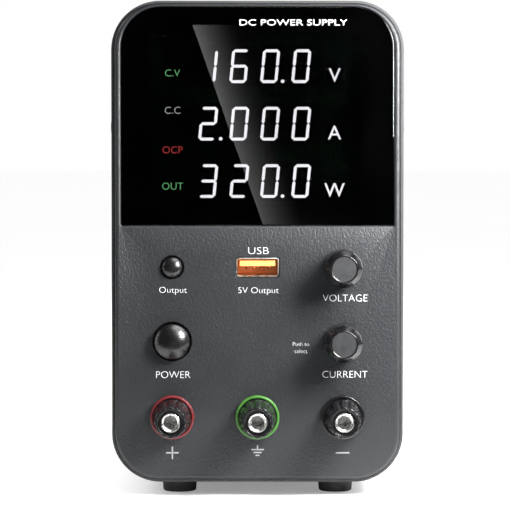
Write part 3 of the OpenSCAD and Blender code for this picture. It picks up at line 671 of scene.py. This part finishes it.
def make_front_panel():
    """The panel's plate: its rounded rim, the lens's recess and window, and the holes of the controls."""
    s = Solid()
    back = FACE_Y + PANEL_T
    recess = FACE_Y + RECESS
    first, last = s.sweep(panel_loop, edge_path(FACE_Y, RIM_R, PANEL_T, 7))
    recess_path = [(FACE_Y, 0.62), (FACE_Y + 0.06, 0.5), (FACE_Y + 0.34, 0.14), (FACE_Y + 0.42, 0.1)]
    recess_path.append((recess, 0.1))
    lip, recess_floor = s.hole(lens_loop, recess_path)
    window_front, window_back = s.hole(window_loop, [(recess, 0), (back, 0)])
    s.skin(recess_floor, [window_front])
    fronts = [lip]
    backs = [window_back]
    holes = [(-COLUMN_X, ROW_1, OUTPUT_R + BUTTON_GAP, 0.42), (-COLUMN_X, ROW_2, POWER_R + BUTTON_GAP, 0.5)]
    holes += [(COLUMN_X, z, BUSH_HOLE_R, 0.1) for z in (ROW_1, ROW_2)]
    holes += [(x, ROW_3, POST_HOLE_R, 0.1) for x in (-COLUMN_X, 0, COLUMN_X)]
    # The wider chamfers round the two buttons take the black button plastic: painted shade for the dark gap
    # round each button.
    for x, z, r, chamfer in holes:
        path = [(FACE_Y, chamfer + 0.2), (FACE_Y, chamfer), (FACE_Y + chamfer, 0), (back, 0)]
        front_ring, back_ring = s.hole(hole_at(x, z, r), path, 1 if chamfer > 0.2 else 0)
        fronts.append(front_ring)
        backs.append(back_ring)
    usb_w, usb_h = USB_HOLE
    usb_loop = lambda grow: round_loop(usb_w + 2 * grow, usb_h + 2 * grow, 0.8 + grow, (0, ROW_1), 5)
    front_ring, back_ring = s.hole(usb_loop, [(FACE_Y, 0.4), (FACE_Y, 0.2), (FACE_Y + 0.2, 0), (back, 0)])
    fronts.append(front_ring)
    backs.append(back_ring)
    s.skin(first, fronts)
    s.skin(last, backs, False)
    thing = s.build("panel_front", "panel_plastic", 28, ("button_plastic",))
    piece(thing, "root", ("front_panel",))


def make_panel_frame():
    """The frame behind the plate, with a tab at each side for a screw."""
    s = Solid()
    ring = Box("panel_frame")
    front, back = ring.low.y, ring.low.y + FRAME_DEPTH
    outer, outer_end = s.sweep(panel_loop_plain, [(front, 0), (back - 0.2, 0), (back, 0.2)])
    inner_end = s.ring(panel_loop_plain(FRAME_T), back)
    inner = s.ring(panel_loop_plain(FRAME_T), front)
    s.wall(outer_end, inner_end)
    s.wall(inner_end, inner)
    s.wall(inner, outer)
    for side in (-1, 1):
        mid = (side * (PANEL.high.x - TAB[0] / 2), TAB_Z)
        s.block(slab_loop(*TAB, 0.6, mid, 3), back - 0.5, ring.high.y)
    piece(s.build("panel_frame_look", "panel_plastic", 28), "root", ("panel_frame",))


def make_lens():
    """The tinted lens, and the black print on its back that leaves the window clear."""
    s = Solid()
    first, last = s.sweep(lambda inset: lens_loop(-inset), edge_path(LENS.low.y, 0.3, LENS_T, 4))
    s.skin(first)
    s.skin(last, forward=False)
    piece(s.build("lens", "lens", 30), "root", ("display_lens",))
    mask = Solid()
    front = LENS.high.y + 0.005
    back = front + 0.03
    outline = [mask.ring(lens_loop(-0.2), y) for y in (front, back)]
    opening = [mask.ring(window_loop(-0.6), y) for y in (front, back)]
    mask.wall(*outline)
    mask.wall(*opening, False)
    mask.skin(outline[0], [opening[0]])
    mask.skin(outline[1], [opening[1]], False)
    piece(mask.build("lens_mask", "mask"), "root")


make_front_panel()
make_panel_frame()
make_lens()


# ---------------- readings behind the lens

DIGIT_ROWS = [133.0, 115.3, 97.6]
DIGIT_X = [-15.2, -5.6, 3.9, 13.5]
DIGIT_H = 10.4
DIGIT_W = 5.3
BAR = 0.9
SLANT = tan(radians(5.5))
SEGMENTS = {"0": "abcdef", "1": "bc", "2": "abged", "3": "abgcd", "6": "afgedc"}
UNIT_X = 23.8
UNIT_H = 4.4
UNIT_DROP = 4.8
LAMPS = [("C.V", 131.0, "lit_green"), ("C.C", 119.5, "lit_pale"),
         ("OCP", 107.3, "lit_red"), ("OUT", 96.1, "lit_green")]
LAMP_X = -26.2
LAMP_H = 2.3
POINT_X = 4.35
POINT_R = 0.55
MODULE_Y = Box("led_modules").low.y


def bar_shape(length, thick):
    """Outline of one segment lying along x, with pointed ends."""
    a = length / 2
    b = thick / 2
    return [(-a, 0), (-a + b, -b), (a - b, -b), (a, 0), (a - b, b), (-a + b, b)]


def segment_shapes():
    """Outlines of the seven segments round the middle of an upright digit."""
    gap = 0.16
    w = DIGIT_W - BAR
    h = DIGIT_H / 2 - BAR / 2
    flat = bar_shape(w - gap * 2 + BAR * 0.35, BAR)
    tall = [(z, x) for x, z in bar_shape(h - gap * 2 + BAR * 0.35, BAR)]
    place = lambda shape, dx, dz: [(x + dx, z + dz) for x, z in shape]
    return {"a": place(flat, 0, h), "g": flat, "d": place(flat, 0, -h),
            "b": place(tall, w / 2, h / 2), "f": place(tall, -w / 2, h / 2),
            "c": place(tall, w / 2, -h / 2), "e": place(tall, -w / 2, -h / 2)}


def plates(name, outlines, y, depth, material):
    """Flat shapes that stand depth in front of y, as one object."""
    verts = []
    faces = []
    for outline in outlines:
        n = len(outline)
        area = sum(x1 * z2 - x2 * z1 for (x1, z1), (x2, z2) in zip(outline, outline[1:] + outline[:1]))
        if area < 0:
            outline = outline[::-1]
        start = len(verts)
        verts += [(x, y - depth, z) for x, z in outline] + [(x, y, z) for x, z in outline]
        faces.append(tuple(range(start, start + n)))
        faces += [(start + k, start + n + k, start + n + (k + 1) % n, start + (k + 1) % n) for k in range(n)]
    return piece(make_object(name, verts, faces, material, 20))


def make_readings():
    shapes = segment_shapes()
    lit = []
    dark = []
    for z, reading in zip(DIGIT_ROWS, ("160.0", "2.000", "320.0")):
        digits = reading.replace(".", "")
        for x, digit in zip(DIGIT_X, digits):
            for key, shape in shapes.items():
                outline = [(x + px + pz * SLANT, z + pz) for px, pz in shape]
                (lit if key in SEGMENTS[digit] else dark).append(outline)
        point = reading.index(".") - 1
        for k, x in enumerate(DIGIT_X):
            spot = (x + POINT_X - DIGIT_H / 2 * SLANT, z - DIGIT_H / 2 + POINT_R)
            (lit if k == point else dark).append(circle_loop(POINT_R, spot, 20))
    plates("lit_segments", lit, MODULE_Y, 0.05, "lit_white")
    plates("dark_segments", dark, MODULE_Y, 0.04, "segment_dark")
    for z, letter in zip(DIGIT_ROWS, "VAW"):
        text("unit_" + letter, letter, UNIT_X, z - UNIT_DROP, UNIT_H, MODULE_Y, "lit_white", bold=0.004)
    for label, z, look in LAMPS:
        name = "lamp_" + label.replace(".", "")
        text(name, label, LAMP_X, z - LAMP_H / 2, LAMP_H, MODULE_Y, look, bold=-0.01)


make_readings()


# ---------------- lettering on the panel

UNDERSIDE = 4.5
LABEL_H = 2.3
SMALL_H = 2.0
NOTE_H = 1.25
NOTE_X = 13.4
NOTE_Z = 46.8
NOTE_STEP = 2.2
MARK_Z = 13.7
INK = 0.03
LABELS = [("VOLTAGE", COLUMN_X + 0.7, 57.2, LABEL_H, 13.7), ("CURRENT", COLUMN_X + 0.7, 33.6, LABEL_H, 13.9),
          ("POWER", -COLUMN_X + 0.3, 33.5, LABEL_H, 10.5), ("Output", -COLUMN_X + 0.3, 59.7, SMALL_H, 8.5),
          ("USB", 0.3, 71.8, LABEL_H, 6.3), ("5V Output", 0.3, 59.6, SMALL_H, 12.5)]


def panel_text(name, body, x, z, cap, width=None):
    text(name, body, x, z, cap, FACE_Y, "print_white", width=width, depth=INK)


def make_labels():
    """The title on the lens, and the panel's labels, at heights above the case's underside."""
    text("title", "DC POWER SUPPLY", 11, 145.4, 1.9, LENS.low.y, "print_white", width=33.0, bold=-0.006,
         depth=0.02)
    for label, x, height, cap, width in LABELS:
        panel_text("label_" + label.replace(" ", "_"), label, x, UNDERSIDE + height - cap / 2, cap, width)
    for k, word in enumerate(("Push to", "select")):
        panel_text("note_" + str(k), word, NOTE_X, NOTE_Z - NOTE_STEP * k, NOTE_H)
    bar = lambda x, dz, w, h: round_loop(w, h, 0.05, (x, MARK_Z + dz), 2)
    marks = [bar(-COLUMN_X, 0, 3.9, 0.45), bar(-COLUMN_X, 0, 0.45, 3.9), bar(COLUMN_X, 0, 4.2, 0.45),
             bar(0, 1.0, 3.9, 0.4), bar(0, 0.1, 2.5, 0.4), bar(0, -0.8, 1.2, 0.4), bar(0, 1.7, 0.4, 1.2)]
    plates("post_marks", marks, FACE_Y, INK, "print_grey")


make_labels()


# ---------------- buttons and knobs

def make_button(name, r, stem_r, dome_y):
    """A domed button: a shallow dome with a rounded shoulder at dome_y, its guide, flange and stem."""
    box = Box(name)
    rise = dome_y - box.low.y
    ball = (r * r + rise * rise) / (2 * rise)
    profile = [(box.low.y, 0)]
    for k in range(1, 15):
        a = math.asin(r / ball) * k / 14
        profile.append((box.low.y + ball - ball * cos(a), ball * sin(a)))
    shoulder = profile.pop()
    profile[-1] = (shoulder[0] - 0.28, r - 0.3)
    profile += fillet([profile[-1], (shoulder[0], r), (shoulder[0] + 0.5, r)], 0.35)[1:]
    back = FACE_Y + PANEL_T
    flange = [(back + 0.2, r), (back + 0.2, r + FLANGE), (back + 1.1, r + FLANGE), (back + 1.1, stem_r)]
    profile += fillet(flange, 0.15)
    profile += [(box.high.y - 0.2, stem_r), (box.high.y, stem_r - 0.2), (box.high.y, 0)]
    thing = lathe(name + "_look", profile, (box.mid.x, box.mid.z), "button_plastic", 96, crease=40)
    piece(thing, name, (name,))


make_button("output_button", OUTPUT_R, 1.5, FACE_Y - 0.7)
make_button("power_button", POWER_R, 1.9, FACE_Y - 2.2)

KNOB_FACE_R = 4.22
KNOB_HOLLOW_R = 4.4
SHAFT_HOLE_R = 3.01


def flat_sided(count, depth):
    """Ripple that flattens a round into count flats; depth 1 makes them fully flat."""
    def ripple(y, r, a):
        step = 2 * pi / count
        off = a % step - step / 2
        flat = cos(step / 2) / cos(off)
        return r * (1 + (flat - 1) * depth)
    return ripple


def make_knob(name):
    """A knob with a matt sunk face, a bevelled edge and 12 soft flats, hollow behind round its shaft."""
    box = Box(name)
    r = box.size.z / 2 + 0.02
    front = box.low.y
    face_r = KNOB_FACE_R
    profile = [(front + 0.1, 0), (front + 0.1, face_r - 0.55)]
    edge = [(front + 0.1, face_r - 0.5), (front, face_r - 0.35), (front, face_r), (front + 2.2, r - 0.15),
            (front + 2.8, r), (box.high.y, r)]
    profile += fillet(edge, [0.1, 0.12, 0.4, 0.5])
    hollow = FACE_Y - 6
    shaft_end = FACE_Y - 12
    profile += [(box.high.y, KNOB_HOLLOW_R), (hollow, KNOB_HOLLOW_R), (hollow, SHAFT_HOLE_R),
                (shaft_end, SHAFT_HOLE_R), (shaft_end, 0)]
    flats = flat_sided(12, 0.55)

    def ripple(y, rr, a):
        if rr < face_r - 0.2 or rr < 4.5 and y > front + 3:
            return rr
        return flats(y, rr, a)

    bands = [1] + [0] * (len(profile) - 1)
    axis = (box.mid.x, box.mid.z)
    thing = lathe(name + "_look", profile, axis, "knob_plastic", 96, ripple, 20, ("knob_face",), bands)
    piece(thing, name, (name,))


make_knob("voltage_knob")
make_knob("current_knob")


# ---------------- binding posts

CAP_BORE_R = Box("positive_washer").size.x / 2 - 1.5
THREAD_CORE_R = 1.72
THREAD_R = 1.99
THREAD_PITCH = 0.7
BORE_R = 2.0
BORE_DEPTH = 8.0
COLLAR_BORE_R = 2.06
COLLAR_NECK_R = 3.95
STUD_HEAD_R = 2.9
WASHER_BORE_R = 2.95
WASHER_R = 4.4
CAP_FRONT_R = 4.75
FLUTES = 12
FLUTE_DEPTH = 0.55


def make_collar(key, x, look):
    """The insulating collar: its rim has the post's colour, and the dish inside the rim is black plastic,
    painted shade for the dark hollow between the rim and the cap.
    """
    collar = Box(key + "_collar")
    r = collar.size.z / 2
    front = collar.low.y
    profile = [(front, COLLAR_BORE_R), (front, 4.6), (front + 0.4, 4.8), (front + 0.4, r - 0.8),
               (front + 0.15, r - 0.72)]
    profile += fillet([(front, r - 0.6), (front, r), (FACE_Y - 0.05, r)], 0.35)
    profile += [(FACE_Y - 0.05, COLLAR_NECK_R), (collar.high.y, COLLAR_NECK_R)]
    profile += [(collar.high.y, COLLAR_BORE_R), (front, COLLAR_BORE_R)]
    # Profile steps inside the rim take black plastic: painted shade in the collar's dish.
    bands = [0 if max(a[1], b[1]) > r - 0.75 and a[0] < FACE_Y else 1 for a, b in zip(profile, profile[1:])]
    thing = lathe(key + "_collar_look", profile, (x, ROW_3), look, 96, None, 35, ("black_plastic",), bands)
    piece(thing, "root", (key + "_collar",))


def make_stud(key, x, shoulder):
    """The stud, with its flat-bottomed 4 mm socket in front of shoulder and its thread behind."""
    stud = Box(key + "_stud")
    front = stud.low.y
    bore_end = front + 0.5 + BORE_DEPTH
    head = [(bore_end, BORE_R), (front + 0.6, BORE_R), (front, BORE_R + 0.62), (front, STUD_HEAD_R),
            (shoulder, STUD_HEAD_R), (shoulder, 2.0)]
    profile = [(bore_end + 0.06, 0), (bore_end, BORE_R - 0.02)] + fillet(head, [0.1, 0.1, 0.2, 0.1])
    y = shoulder + 0.4
    while y < stud.high.y - THREAD_PITCH:
        profile += [(y, THREAD_R), (y + THREAD_PITCH / 2, THREAD_CORE_R)]
        y += THREAD_PITCH
    profile += [(stud.high.y - 0.3, 1.9), (stud.high.y, 1.6), (stud.high.y, 0)]
    thing = lathe(key + "_stud_look", profile, (x, ROW_3), "nickel", 64, crease=40)
    piece(thing, "root", (key + "_stud",))


def make_washer(key, x):
    washer = Box(key + "_washer")
    front = washer.low.y
    back = washer.high.y
    section = [(front, WASHER_BORE_R), (front, WASHER_R), (back, WASHER_R), (back, WASHER_BORE_R)]
    profile = fillet(section, 0.12, 2)
    thing = lathe(key + "_washer_look", profile + [profile[0]], (x, ROW_3), "nickel", 64, crease=40)
    piece(thing, key + "_washer", (key + "_washer",))


def make_cap(key, x):
    """The screwed cap, whose flutes run out towards its back edge."""
    cap = Box(key + "_cap")
    rear_r = cap.size.z / 2
    back = cap.high.y
    front = cap.low.y
    bore = CAP_BORE_R
    section = [(front + 0.9, bore + 0.25), (front + 0.9, bore + 0.85), (front + 0.25, bore + 0.95),
               (front, bore + 1.1), (front, CAP_FRONT_R), (front + 1.0, CAP_FRONT_R + 0.1),
               (back - 0.45, rear_r - 0.03), (back, rear_r - 0.25), (back, bore)]
    profile = fillet(section, [0.1, 0.1, 0.1, 0.3, 0.2, 0.2, 0.15], 3)
    profile += [(front + 3, bore), (front + 3, bore + 0.25), (front + 0.9, bore + 0.25)]

    def ripple(y, rr, a):
        if rr < CAP_FRONT_R - 0.35:
            return rr
        run = min(1.0, 0.55 + (y - front) / 2.5) * min(1.0, max(0.0, (back - 0.5 - y) / 0.5))
        dip = max(0.0, -cos(FLUTES * a)) ** 0.7
        return rr - FLUTE_DEPTH * dip * run

    fine = []
    for (y0, r0), (y1, r1) in zip(profile, profile[1:]):
        steps = 8 if abs(y1 - y0) > 5 and r0 > CAP_FRONT_R - 0.3 else 1
        fine += [(y0 + (y1 - y0) * k / steps, r0 + (r1 - r0) * k / steps) for k in range(steps)]
    fine.append(profile[-1])
    thing = lathe(key + "_cap_look", fine, (x, ROW_3), "black_plastic", 120, ripple, 35)
    piece(thing, key + "_cap", (key + "_cap",))


for key, look in (("positive", "red_plastic"), ("earth", "green_plastic"), ("negative", "black_plastic")):
    post = Box(key + "_collar")
    make_collar(key, post.mid.x, look)
    make_stud(key, post.mid.x, post.low.y)
    make_washer(key, post.mid.x)
    make_cap(key, post.mid.x)


# ---------------- USB socket

USB_MID = (0, ROW_1)
TONGUE_BASE = (12.4, 5)
TONGUE = (11.1, 1.8)
TONGUE_RISE = 1.2
BASE_DEPTH = 3.35
CONTACT_X = -3.45
CONTACT_PITCH = 2.3


def make_usb_shell():
    shell = Box("usb_shell")
    w = shell.size.x
    h = shell.size.z
    front = shell.low.y
    back = shell.high.y
    loop = lambda inset: round_loop(w - 2 * inset, h - 2 * inset, max(0.9 - inset, 0.3), USB_MID, 6)
    s = Solid()
    outer, outer_end = s.sweep(loop, [(front, 0.12), (front + 0.12, 0), (back - 0.1, 0), (back, 0.1)])
    inner_path = [(front, 0.1), (front + 0.12, 0), (back - 0.6, 0)]
    inner, inner_end = s.hole(lambda grow: loop(0.3 - grow), inner_path)
    s.wall(inner, outer)
    s.skin(inner_end)
    s.skin(outer_end, forward=False)
    piece(s.build("usb_shell_look", "nickel", 40), "root", ("usb_shell",))


def make_usb_tongue():
    """The orange insulator: a base that fills the shell's back, and the tongue that carries the contacts."""
    tongue = Box("usb_tongue")
    base_y = tongue.high.y - BASE_DEPTH
    tongue_mid = (0, ROW_1 + TONGUE_RISE)
    s = Solid()
    s.block(slab_loop(*TONGUE_BASE, 0.6, USB_MID, 4), base_y, tongue.high.y, 0.1)
    s.block(slab_loop(*TONGUE, 0.25, tongue_mid, 4), tongue.low.y, base_y + 0.2, 0.25)
    piece(s.build("usb_tongue_look", "usb_insulator", 40), "root", ("usb_tongue",))


def make_usb_contacts():
    """Four flat strips under the tongue, each with its bent spring tip."""
    contacts = Box("usb_contacts")
    front = contacts.low.y
    s = Solid()
    for k in range(4):
        spot = (CONTACT_X + CONTACT_PITCH * k, ROW_1 + 0.17)
        bend = (spot[0], spot[1] - 0.42)
        s.block(slab_loop(1.0, 0.2, 0.06, spot, 2), front, contacts.high.y, 0.04)
        s.block(slab_loop(0.7, 0.75, 0.2, bend, 3), front + 0.6, front + 2.2, 0.1)
    piece(s.build("usb_contacts_look", "contact_metal", 40), "root", ("usb_contacts",))


make_usb_shell()
make_usb_tongue()
make_usb_contacts()


# ---------------- screws and feet

REAR_Y = Box("rear_panel").high.y
MOUTH_Y = Box("inlet_body").high.y
SCREW_TAB_Y = FACE_Y + 20
TRAY_SCREW_Y = (FACE_Y + 34, FACE_Y + 174)
TRAY_SCREW_Z = 27.5
REAR_SCREW_Z = (119.5, 45.5)
FOOT_X = 24.5
FOOT_Y = (FACE_Y + 16, FACE_Y + 182)
FOOT_R = 5.5
FOOT_SOLE_R = 3.1
REAR_SCREW_Y = REAR_Y - 8
SELECTOR_T = 1
GUARD_T = 2.2
INLET_SCREW = (20, 36.5)
SELECTOR_SCREW = (14.5, 65.5)
FAN_SCREW = 25
SMALL_SIZE = {"head_r": 2.75, "head_h": 1.1, "shank_r": 1.5, "length": 5, "reach": 1.35, "half": 0.28}
FAN_SIZE = {"head_r": 3.1, "head_h": 1.8, "shank_r": 2.1, "length": 12, "reach": 1.65, "half": 0.36}
DOWN = (0, 0, -1)
REARWARDS = (0, 1, 0)


def cross_loop(reach, half):
    """Outline of a cross, counter-clockwise."""
    quarter = [(reach, -half), (reach, half), (half, half)]
    loop = []
    for k in range(4):
        a = pi / 2 * k
        loop += [(x * cos(a) - z * sin(a), x * sin(a) + z * cos(a)) for x, z in quarter]
    return loop


def pan_screw(head_r, head_h, shank_r, length, reach, half):
    """A pan-head screw facing -Y, its head's underside at y = 0.

    Its cross recess has arms of length reach and half width half.
    """
    s = Solid()
    circle = lambda inset: circle_loop(head_r - inset, (0, 0), 40)
    flat_r = head_r * 0.62
    path = [(-head_h, head_r - flat_r)]
    for k in range(1, 7):
        a = radians(90 * k / 6)
        path.append((-head_h + head_h * 0.8 * (1 - cos(a)), (head_r - flat_r) * (1 - sin(a))))
    path += [(-0.05, 0), (0, 0.06), (0, head_r - shank_r)]
    top, neck = s.sweep(circle, path)
    rim, floor_ring = s.hole(lambda grow: cross_loop(reach + grow, half + grow),
                             [(-head_h, 0.05), (-head_h + 0.05, 0), (-head_h * 0.3, -half * 0.45)])
    s.skin(top, [rim])
    s.skin(floor_ring)
    shank = s.ring(circle_loop(shank_r, (0, 0), 40), length)
    s.wall(neck, shank)
    s.skin(shank, forward=False)
    return s


def pair(x, y, z, direction):
    """A place at each side of the middle plane."""
    return [((side * x, y, z), direction) for side in (-1, 1)]


def foot_places(z):
    return [place for y in FOOT_Y for place in pair(FOOT_X, y, z, DOWN)]


def make_screws():
    """The case's, feet's, inlet's and selector's small screws, and the fan's larger ones."""
    rows = [(SCREW_TAB_Y, TAB_Z)] + [(y, TRAY_SCREW_Z) for y in TRAY_SCREW_Y]
    rows += [(REAR_SCREW_Y, z) for z in REAR_SCREW_Z]
    places = [((side * CASE.high.x, y, z), (side, 0, 0)) for y, z in rows for side in (-1, 1)]
    places += foot_places(3.0)
    places += pair(INLET_SCREW[0], MOUTH_Y, INLET_SCREW[1], REARWARDS)
    places += pair(SELECTOR_SCREW[0], REAR_Y + SELECTOR_T, SELECTOR_SCREW[1], REARWARDS)
    fan_z = Box("fan_frame").mid.z
    corners = [(sx * FAN_SCREW, fan_z + sz * FAN_SCREW) for sx in (-1, 1) for sz in (-1, 1)]
    fan_places = [((x, REAR_Y + GUARD_T, z), REARWARDS) for x, z in corners]
    small = pan_screw(**SMALL_SIZE).copies("case_screws_look", places, "screw_zinc", 35)
    large = pan_screw(**FAN_SIZE).copies("fan_screws_look", fan_places, "screw_zinc", 35)
    for thing in (small, large):
        piece(thing, "root", ("case_screws",))


def make_feet():
    """Rubber feet with a rounded sole edge and a well for the screw's head."""
    s = Solid()
    h = Box("feet").size.z
    loop = lambda inset: circle_loop(FOOT_R - inset, (0, 0), 56)
    path = [(0, 1.5), (0, 1.1)]
    for k in range(1, 6):
        a = radians(18 * k)
        path.append((0.55 * (1 - cos(a)), 0.85 - 0.55 * sin(a)))
    path += [(h - 0.1, 0), (h, 0.1)]
    first, last = s.sweep(loop, path)
    rim, well_floor = s.hole(hole_at(0, 0, FOOT_SOLE_R), [(0, 0.3), (0.2, 0), (h - 1.5, 0)])
    bore, bore_end = s.hole(hole_at(0, 0, 1.55), [(h - 1.5, 0), (h, 0)])
    s.skin(first, [rim])
    s.skin(well_floor, [bore])
    s.skin(last, [bore_end], False)
    piece(s.copies("feet_look", foot_places(0), "rubber", 35), "root", ("feet",))


make_screws()
make_feet()


# ---------------- floor and light

FLOOR_LIFT = 0.27
FLOOR_REACH = 9000
FLOOR_NEAR = FACE_Y - 60
FLOOR_Z = -0.02
CARD_POWER = 2.4
CARD_AWAY = 1200
CARD_TOP = 145.5
CARD_LOW = 60
CARD_W = 17
CARD_EDGE = (-19.6, 144.5)
CARD_LEAN = 0.352
CARD_COLUMNS = 24


def area_light(name, place, aim, size, power):
    """A rectangular soft light of size (width, height) millimetres at place, facing aim."""
    data = bpy.data.lights.new(name, "AREA")
    data.shape = "RECTANGLE"
    data.size = size[0] * MM
    data.size_y = size[1] * MM
    data.energy = power
    light = bpy.data.objects.new(name, data)
    light.location = Vector(place) * MM
    light.rotation_euler = (Vector(aim) - Vector(place)).to_track_quat("-Z", "Y").to_euler()
    bpy.context.scene.collection.objects.link(light)


def floor():
    """A wide pale floor; the camera sees it a little brighter than it is lit."""
    n = Nodes("floor")
    n.paint(n.noise(300, detail=3), (0.8, 0.8, 0.8), (0.83, 0.83, 0.83))
    n.set(Roughness=0.75, Emission_Color=(1, 1, 1, 1))
    path = n.add("ShaderNodeLightPath")
    glow_power = n.add("ShaderNodeMath", operation="MULTIPLY")
    n.join(path.outputs["Is Camera Ray"], glow_power.inputs[0])
    glow_power.inputs[1].default_value = FLOOR_LIFT
    n.join(glow_power.outputs[0], n.shader.inputs["Emission Strength"])
    MATERIALS["floor"] = n.material
    far = FLOOR_REACH
    corners = [(-far, FLOOR_NEAR), (far, FLOOR_NEAR), (far, far), (-far, far)]
    make_object("floor", [(x, y, FLOOR_Z) for x, y in corners], [(0, 1, 2, 3)], "floor")


def world():
    """An even pale surround that isn't mirrored by glossy surfaces or seen through clear ones."""
    studio = bpy.data.worlds.new("studio")
    bpy.context.scene.world = studio
    studio.use_nodes = True
    background = studio.node_tree.nodes["Background"]
    background.inputs["Color"].default_value = (1, 1, 1, 1)
    background.inputs["Strength"].default_value = 1.0
    studio.cycles_visibility.glossy = False
    studio.cycles_visibility.transmission = False


def reflected_card():
    """A bright card behind the camera, seen only as the slanted reflection in the lens."""
    grow = CARD_AWAY / CAMERA_DISTANCE
    to_card = lambda x, z: (x + (x - CAMERA_X) * grow, FACE_Y - CARD_AWAY, z + (z - CAMERA_HEIGHT) * grow)
    edge = lambda z: CARD_EDGE[0] + (CARD_EDGE[1] - z) * CARD_LEAN
    verts = []
    for k in range(CARD_COLUMNS + 1):
        shift = CARD_W * k / CARD_COLUMNS
        verts += [to_card(edge(z) + shift, z) for z in (CARD_TOP, CARD_LOW)]
    faces = [(2 * k, 2 * k + 1, 2 * k + 3, 2 * k + 2) for k in range(CARD_COLUMNS)]
    material = bpy.data.materials.new("card")
    material.use_nodes = True
    tree = material.node_tree
    tree.nodes.clear()
    light = tree.nodes.new("ShaderNodeEmission")
    light.inputs["Strength"].default_value = CARD_POWER
    shade_by = tree.nodes.new("ShaderNodeAttribute")
    shade_by.attribute_name = "fade"
    out = tree.nodes.new("ShaderNodeOutputMaterial")
    tree.links.new(shade_by.outputs["Color"], light.inputs["Color"])
    tree.links.new(light.outputs[0], out.inputs[0])
    MATERIALS["card"] = material
    thing = make_object("reflected_card", verts, faces, "card")
    fade = thing.data.color_attributes.new("fade", "FLOAT_COLOR", "POINT")
    for k in range(CARD_COLUMNS + 1):
        for i, height in ((2 * k, 1.0), (2 * k + 1, 0.5)):
            value = height * (1 - k / CARD_COLUMNS) ** 3
            fade.data[i].color = (value, value, value, 1)
    thing.visible_camera = False
    thing.visible_diffuse = False
    thing.visible_shadow = False


floor()
world()
reflected_card()
bpy.context.scene.view_settings.view_transform = "Standard"
MIDDLE = (10, FACE_Y, 85)
REAR_AIM = (0, 60, 80)
area_light("key", (116, FACE_Y - 100, 150), (30, FACE_Y, 66), (60, 90), 1.7)
area_light("top_right", (110, FACE_Y - 80, 420), (20, FACE_Y, 100), (300, 200), 1.6)
area_light("left_strip", (-420, FACE_Y - 30, 120), MIDDLE, (40, 380), 0.3)
area_light("low_card", (0, FACE_Y - 320, -28), (0, FACE_Y, 25), (240, 56), 0.02)
area_light("back_left", (-500, 520, 420), REAR_AIM, (400, 400), 5.0)
area_light("back_right", (520, 420, 320), REAR_AIM, (400, 400), 4.0)
